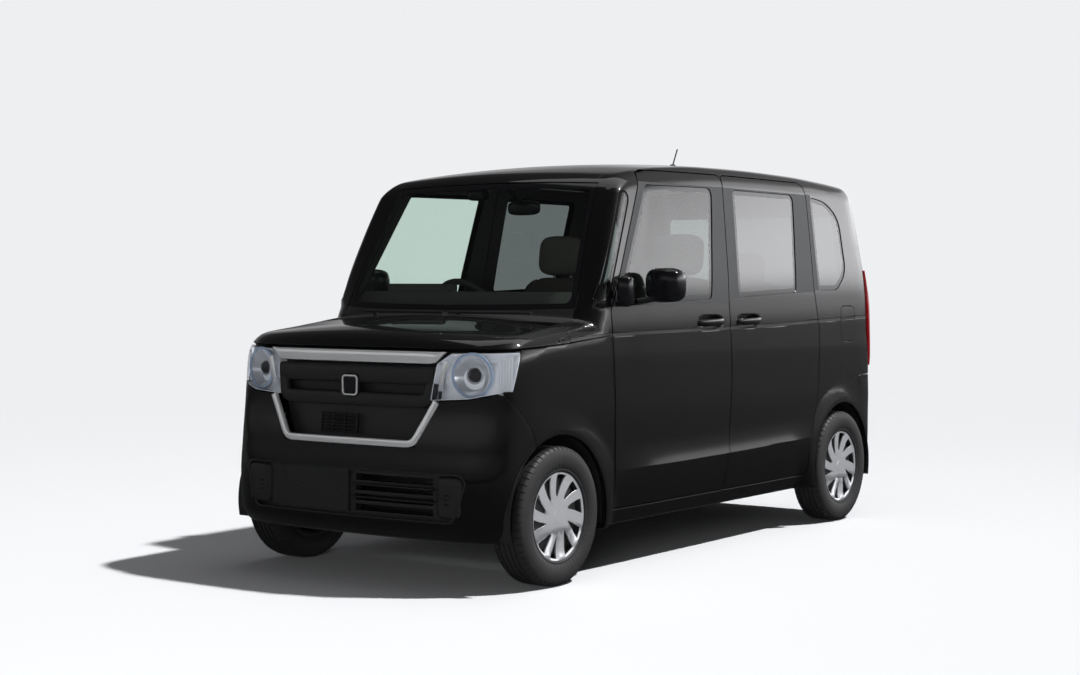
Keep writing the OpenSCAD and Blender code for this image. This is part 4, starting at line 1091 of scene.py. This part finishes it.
xs = np.linspace(-0.450, 0.450, 41)
widths = [max(grille["barHalf"] * min(1, (0.452 - abs(x)) / 0.05), 0.0015) for x in xs]
noseBar("grilleBar", [(x, grille["barTop"] - w) for x, w in zip(xs, widths)], -0.004, widths, 0.012, chrome,
        ["grille_trim"], 16, 0.5)
surround = rounded([(-0.4275, 0.742), (-0.331, 0.576), (0.331, 0.576), (0.4275, 0.742)], [0, 0.05, 0.05, 0])
noseBar("grilleSurround", spaced(surround, 60), -0.003, 0.0145, 0.010, chrome, (), 16, 0.5)
noseBar("grilleWingUpper", [(x, 0.842) for x in np.linspace(-0.402, 0.402, 31)], -0.020, 0.036, 0.018, count=18, square=0.6)
lowerWing = rounded([(-0.394, 0.815), (-0.376, 0.742), (0.376, 0.742), (0.394, 0.815)], [0, 0.10, 0.10, 0])
noseBar("grilleWingLower", spaced(lowerWing, 51), -0.024, 0.028, 0.016, count=18, square=0.6)
first, step, many = grille["louvres"]
for k in range(many):
    noseBar(f"grilleLouvre_{k}", [(x, first + step * k) for x in np.linspace(-0.17, 0.02, 9)], -0.034, 0.0030, 0.008)
first, step, many = grille["ribs"]
for k in range(many):
    noseBar(f"grilleRib_{k}", [(first + step * k, z) for z in (0.600, 0.640, 0.680)], -0.036, 0.0024, 0.008)
z = grille["emblem"]
dress(blob("emblemPlinth", (0, noseAt(0, z) + 0.010, z), (0.044, 0.014, 0.047), 0.45), glossBlack, "root")
frameLine = rounded(grille["frame"], 0.016)
path = [(x, noseAt(0, grille["emblem"]) - 0.0035, z) for x, z in frameLine + frameLine[:2]]
dress(ribbon("emblemFrame", path, 0.0036, 0.0036), chrome, "root")
say("grille")

# Lower intake: two blades, a lip round the recess, and fog lamp blanks with slots.
intake = {"blades": (0.355, 0.405), "fog": (0.497, 0.375), "fogHalf": (0.062, 0.022, 0.082), "slots": (0.350, 0.367, 0.384)}
for k, z in enumerate(intake["blades"]):
    noseBar(f"intakeBlade_{k}", [(x, z) for x in np.linspace(0.03, 0.43, 15)], -0.016, 0.0042, 0.010)
lip = spaced(recessLine, 90)
noseBar("intakeLip", lip + lip[:2], -0.006, 0.006, 0.006)
for label, sign in both:
    x, z = intake["fog"]
    dress(blob(f"fogBlank_{label}", (sign * x, noseAt(x, z) + 0.030, z), intake["fogHalf"], 0.35), satinBlack, "root")
    for k, z in enumerate(intake["slots"]):
        path = [(x, noseAt(x, z) + 0.0095, z) for x in np.linspace(0.478, 0.522, 5) * sign]
        dress(ribbon(f"fogSlot_{label}_{k}", path, 0.003, 0.003), glossBlack, "root")
say("intake")

# Mirrors, with the small support mirror on the left.
mirror = {
    "centre": (0.812, -0.577, 1.196), "half": (0.084, 0.062, 0.072), "glass": (0.070, 0.004, 0.060), "glassBack": 0.0365,
    "arm": ((0.716, -0.662, 1.128), (0.742, -0.640, 1.132), (0.77, -0.610, 1.142), (0.80, -0.585, 1.155)),
    "armHalf": ([0.036, 0.032, 0.028, 0.026], [0.014, 0.014, 0.016, 0.02]),
    "slit": ((0.842, -0.6345, 1.166), (0.858, -0.6295, 1.166), (0.874, -0.619, 1.166), (0.886, -0.605, 1.166)),
    "pod": (0.7665, -0.819, 1.170), "podHalf": (0.033, 0.036, 0.064),
    "podFoot": ((0.722, -0.80, 1.118), (0.745, -0.812, 1.122), (0.762, -0.818, 1.13)),
}


def flatBack(q):
    return np.array([q[0] * (1 - 0.10 * max(q[1], 0)), min(q[1], 0.62), q[2] * (1 - 0.08 * max(q[1], 0))])


for label, sign in both:
    door, (x, y, z) = f"front_door_{label}", mirror["centre"]
    dress(blob(f"mirrorCap_{label}", (sign * x, y, z), mirror["half"], 0.55, 0, 32, 48, flatBack), glossBlack, door,
          [f"mirror_{label}"])
    dress(blob(f"mirrorGlass_{label}", (sign * x, y + mirror["glassBack"], z), mirror["glass"], 0.45), mirrorSilver, door)
    arm, slit = ([(sign * a, b, c) for a, b, c in mirror[key]] for key in ("arm", "slit"))
    dress(ribbon(f"mirrorArm_{label}", arm, *mirror["armHalf"], (0, 0, 1)), glossBlack, door)
    dress(ribbon(f"mirrorSlit_{label}", slit, 0.0022, 0.002), chrome, door)
pod = blob("mirrorPod", mirror["pod"], mirror["podHalf"], 0.6, 0, 24, 32, flatBack)
foot = ribbon("mirrorPodFoot", mirror["podFoot"], [0.026, 0.022, 0.018], 0.012, (0, 0, 1))
for thing in (pod, foot):
    dress(thing, glossBlack, "front_door_left")
say("mirrors")

# Bar handles across their bowls.
handle = {
    "places": (("front", -0.052, "front_door_{}", "front_handle_{}"), ("rear", 0.301, "root", "rear_door_handles")),
    "line": [(-0.104, 0.7215), (-0.092, 0.7330), (-0.070, 0.7395), (-0.02, 0.7415), (0.04, 0.7415), (0.080, 0.7395),
             (0.096, 0.7330), (0.106, 0.7215)],
    "half": [0.012, 0.0145, 0.0155, 0.0155, 0.0155, 0.0155, 0.0145, 0.012], "height": 1.030,
}
for label, sign in both:
    for key, middle, body, stood in handle["places"]:
        path = [(sign * x, middle + a, handle["height"] + 0.02 * a) for a, x in handle["line"]]
        bar = ribbon(f"doorHandle_{key}_{label}", path, handle["half"], 0.0065, (sign, 0, 0), 18)
        dress(bar, paint, body.format(label), [stood.format(label)])

# Seats: crowned cushions with seams, their posts and rails.
# Each cushion: its name, where it is, its half size, its tilt, where its seams run, its roundness and its CAD node.
cushions = [
    ("seatCushion", (0.335, -0.02, 0.590), (0.245, 0.262, 0.080), -0.06, (-0.58, 0.58), 0.42, ["front_seats"]),
    ("seatBack", (0.335, 0.268, 0.930), (0.235, 0.066, 0.305), -0.22, (-0.6, 0.6), 0.42, ()),
    ("headRest", (0.335, 0.315, 1.340), (0.128, 0.046, 0.098), -0.12, (), 0.5, ()),
    ("rearCushion", (0.27, 0.725, 0.60), (0.262, 0.228, 0.075), -0.05, (0,), 0.4, ["rear_seat"]),
    ("rearBack", (0.27, 1.01, 0.93), (0.262, 0.062, 0.285), -0.2, (0,), 0.4, ()),
    ("rearRest", (0.27, 1.06, 1.275), (0.12, 0.042, 0.085), -0.1, (), 0.5, ()),
]
seat = {"middle": 0.335, "post": ((0.318, 1.18), (0.316, 1.25), (0.314, 1.30)), "postApart": 0.05, "postHalf": (0.006, 0.006),
        "rail": ((-0.25, 0.45), (0.0, 0.45), (0.24, 0.45)), "railApart": 0.17, "railHalf": (0.02, 0.06), "seam": 0.055}


def seamed(lines):
    def shape(q):
        dip = sum(seat["seam"] * max(0, 1 - abs(q[0] - c) / seat["seam"]) for c in lines)
        return np.array([q[0], q[1] * (1 - dip), q[2] * (1 - dip)])
    return shape


def makeCushion(name, centre, half, tilt, lines, power, stands):
    thing = blob(name, centre, half, power, tilt, 36, 72, seamed(lines))
    dress(thing, seatCloth, "root", stands)


for label, sign in both:
    for name, (x, y, z), *rest in cushions:
        makeCushion(f"{name}_{label}", (sign * x, y, z), *rest)
        if name != "headRest":
            continue
        for side in (-1, 1):
            x = sign * seat["middle"] + side * seat["postApart"]
            post = [(x, y, z) for y, z in seat["post"]]
            dress(ribbon(f"headPost_{label}_{side + 1}", post, *seat["postHalf"]), chrome, "root")
            x = sign * seat["middle"] + side * seat["railApart"]
            rail = [(x, y, z) for y, z in seat["rail"]]
            dress(ribbon(f"seatRail_{label}_{side + 1}", rail, *seat["railHalf"], (0, 0, 1)), cabinPlastic, "root")
say("seats")

# Antenna foot, room mirror and its stem, sensor box.
small = {"foot": ((0, 0.825, 1.774), (0.021, 0.036, 0.018)), "mirror": ((0, -0.479, 1.542), (0.088, 0.014, 0.033)),
         "stem": [(0, -0.49, 1.56), (0, -0.56, 1.60), (0, -0.63, 1.645)],
         "sensor": ((-0.116, -0.668, 1.600), (0.045, 0.035, 0.030))}
dress(blob("antennaFoot", *small["foot"], 0.7), rubberBlack, "root")
dress(blob("roomMirror", *small["mirror"], 0.6), glossBlack, "root")
dress(ribbon("roomMirrorStem", small["stem"], 0.010, 0.008, (0, 0, 1)), glossBlack, "root")
dress(blob("sensorBox", *small["sensor"], 0.45), glossBlack, "root")

# Finishes of the CAD pieces that show as they are; any other is paint.
kinds = [
    (rubberBlack, ("antenna",)), (castMetal, ("engine", "knuckle_left", "knuckle_right")), (pipeSteel, ("exhaust",)),
    (cabinPlastic, ("dashboard", "steering_wheel")), (seatCloth, ("front_seats", "rear_seat")), (lampPale, ("headlamps",)),
    (chassisSteel, ("floor_pan", "front_frame", "front_suspension", "fuel_tank", "rear_axle")), (chrome, ("grille_trim",)),
    (satinBlack, ("wheelhouses", "grille", "lower_grille", "wipers", "rear_wiper")),
    (glossBlack, ("mirror_left", "mirror_right")),
]
finishes = {name: material for material, names in kinds for name in names}
for name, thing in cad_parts.items():
    usual = tyreRubber if name.startswith("tyre") else wheelSteel if name.startswith("wheel") else paint
    thing.data.materials.clear()
    thing.data.materials.append(finishes.get(name, usual))

# Floor: a matt shadow catcher that fades into the backdrop; in the paint's reflections it is a painted reflection, a
# faint glow, darker near the car and brighter far off.
studio = {
    "floor": 80.0, "matt": (0.80, 0.81, 0.825, 1), "pale": (0.855, 0.865, 0.88, 1), "floorFade": (3.5, 12, 0, 1),
    "floorGlowInReflections": (1.5, 14, 0.04, 0.08), "ambient": (0.06, 0.06, 0.0624, 1),
    "skyByHeight": ((0.0, 0.04), (0.05, 0.28), (0.14, 1.0), (0.26, 0.5), (0.42, 0.1), (0.8, 0.07)),
    "brightSide": (0.578, 0.816, 0), "skyBySide": (0.35, 0.88, 0.42, 3.3),
    "sun": (0.52, 0.42, 1.0), "sunPower": 3.8, "sunSize": 2.5,
    "overhead": ((0.2, 0.2, 4.8), (0, 0, 1), (2.4, 4.5), 30),
    "frontFill": ((3.4, -7.5, 1.3), (0.2, -1.0, 0.7), (3.0, 1.6), 130),
}


def ranged(tree, value, limits, interpolation="LINEAR"):
    keys = ("From Min", "From Max", "To Min", "To Max")
    node = addNode(tree, "MapRange", dict(zip(keys, limits)), interpolation_type=interpolation)
    tree.links.new(value, node.inputs["Value"])
    return node.outputs[0]


bpy.ops.mesh.primitive_plane_add(size=studio["floor"], location=(0, 0, 0))
floor = bpy.context.active_object
floor.name = "floor"
floorMaterial = bpy.data.materials.new("floorMaterial")
floorMaterial.use_nodes = True
floor.data.materials.append(floorMaterial)
tree = floorMaterial.node_tree
tree.nodes.remove(tree.nodes["Principled BSDF"])
matt = addNode(tree, "BsdfDiffuse", {"Color": studio["matt"]}).outputs[0]
place = addNode(tree, "NewGeometry").outputs["Position"]
away = addNode(tree, "VectorMath", {0: place}, operation="LENGTH").outputs["Value"]
pale = addNode(tree, "Emission", {"Color": studio["pale"]}).outputs[0]
fade = ranged(tree, away, studio["floorFade"], "SMOOTHSTEP")
seen = addNode(tree, "MixShader", {0: fade, 1: matt, 2: pale}).outputs[0]
# Painted reflection: glossy rays see the floor as a pale glow, faint near the car and stronger far off, in place of its
# lit self.
strength = ranged(tree, away, studio["floorGlowInReflections"], "SMOOTHSTEP")
paintedFloorReflection = addNode(tree, "Emission", {"Color": studio["pale"], "Strength": strength}).outputs[0]
isGlossy = addNode(tree, "LightPath").outputs["Is Glossy Ray"]
shown = addNode(tree, "MixShader", {0: isGlossy, 1: seen, 2: paintedFloorReflection})
tree.links.new(shown.outputs[0], tree.nodes["Material Output"].inputs["Surface"])

# World: a plain backdrop for the camera, a bright band low on one side for reflections, and a faint ambient light.
world = bpy.data.worlds.new("studio")
bpy.context.scene.world = world
world.use_nodes = True
tree = world.node_tree
backdrop = tree.nodes["Background"]
backdrop.inputs["Color"].default_value = studio["pale"]
way = addNode(tree, "TexCoord").outputs["Generated"]
height = addNode(tree, "SeparateXYZ", {0: way}).outputs["Z"]
ramp = addNode(tree, "ValToRGB", {0: height})
ramp.color_ramp.interpolation = "EASE"
for k, (height, value) in enumerate(studio["skyByHeight"]):
    stop = ramp.color_ramp.elements[k] if k < 2 else ramp.color_ramp.elements.new(height)
    stop.position = height
    stop.color = (value, value, value * 1.02, 1)
facing = addNode(tree, "VectorMath", {0: way, 1: studio["brightSide"]}, operation="DOT_PRODUCT").outputs["Value"]
strength = ranged(tree, facing, studio["skyBySide"])
gloss = addNode(tree, "Background", {"Color": ramp.outputs[0], "Strength": strength}).outputs[0]
soft = addNode(tree, "Background", {"Color": studio["ambient"]}).outputs[0]
rays = addNode(tree, "LightPath").outputs
lit = addNode(tree, "MixShader", {0: rays["Is Glossy Ray"], 1: soft, 2: gloss}).outputs[0]
mix = addNode(tree, "MixShader", {0: rays["Is Camera Ray"], 1: lit, 2: backdrop.outputs[0]})
tree.links.new(mix.outputs[0], tree.nodes["World Output"].inputs["Surface"])


# Lights and camera.
def addLight(name, kind, power, direction, place=(0, 0, 0), size=None):
    light = bpy.data.lights.new(name, kind)
    light.energy = power
    if size:
        light.shape = "RECTANGLE"
        light.size, light.size_y = size
    thing = bpy.data.objects.new(name, light)
    bpy.context.scene.collection.objects.link(thing)
    thing.location = place
    thing.rotation_euler = direction.to_track_quat("-Z", "Y").to_euler()
    return thing


addLight("key", "SUN", studio["sunPower"], -Vector(studio["sun"])).data.angle = math.radians(studio["sunSize"])
for name in ("overhead", "frontFill"):
    place, aim, size, power = studio[name]
    lamp = addLight(name, "AREA", power, Vector(aim) - Vector(place), place, size)
    lamp.visible_glossy = name == "overhead"

view = {"lens": 60.25, "sensor": 36, "turn": 35.31, "tip": 1.666, "roll": 0.154, "place": (4.7815, -7.1021, 1.1955)}
camera = bpy.data.cameras.new("camera")
cameraThing = bpy.data.objects.new("camera", camera)
bpy.context.scene.collection.objects.link(cameraThing)
bpy.context.scene.camera = cameraThing
camera.lens = view["lens"]
camera.sensor_width = view["sensor"]
turn, tip, roll = (math.radians(view[key]) for key in ("turn", "tip", "roll"))
right = Vector((math.cos(turn), math.sin(turn), 0))
back = Vector((math.sin(turn) * math.cos(tip), -math.cos(turn) * math.cos(tip), math.sin(tip)))
axes = Matrix((right, back.cross(right), back)).transposed() @ Matrix.Rotation(roll, 3, "Z")
cameraThing.matrix_world = Matrix.Translation(view["place"]) @ axes.to_4x4()
bpy.context.scene.view_settings.view_transform = "Standard"

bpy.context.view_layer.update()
say("done")
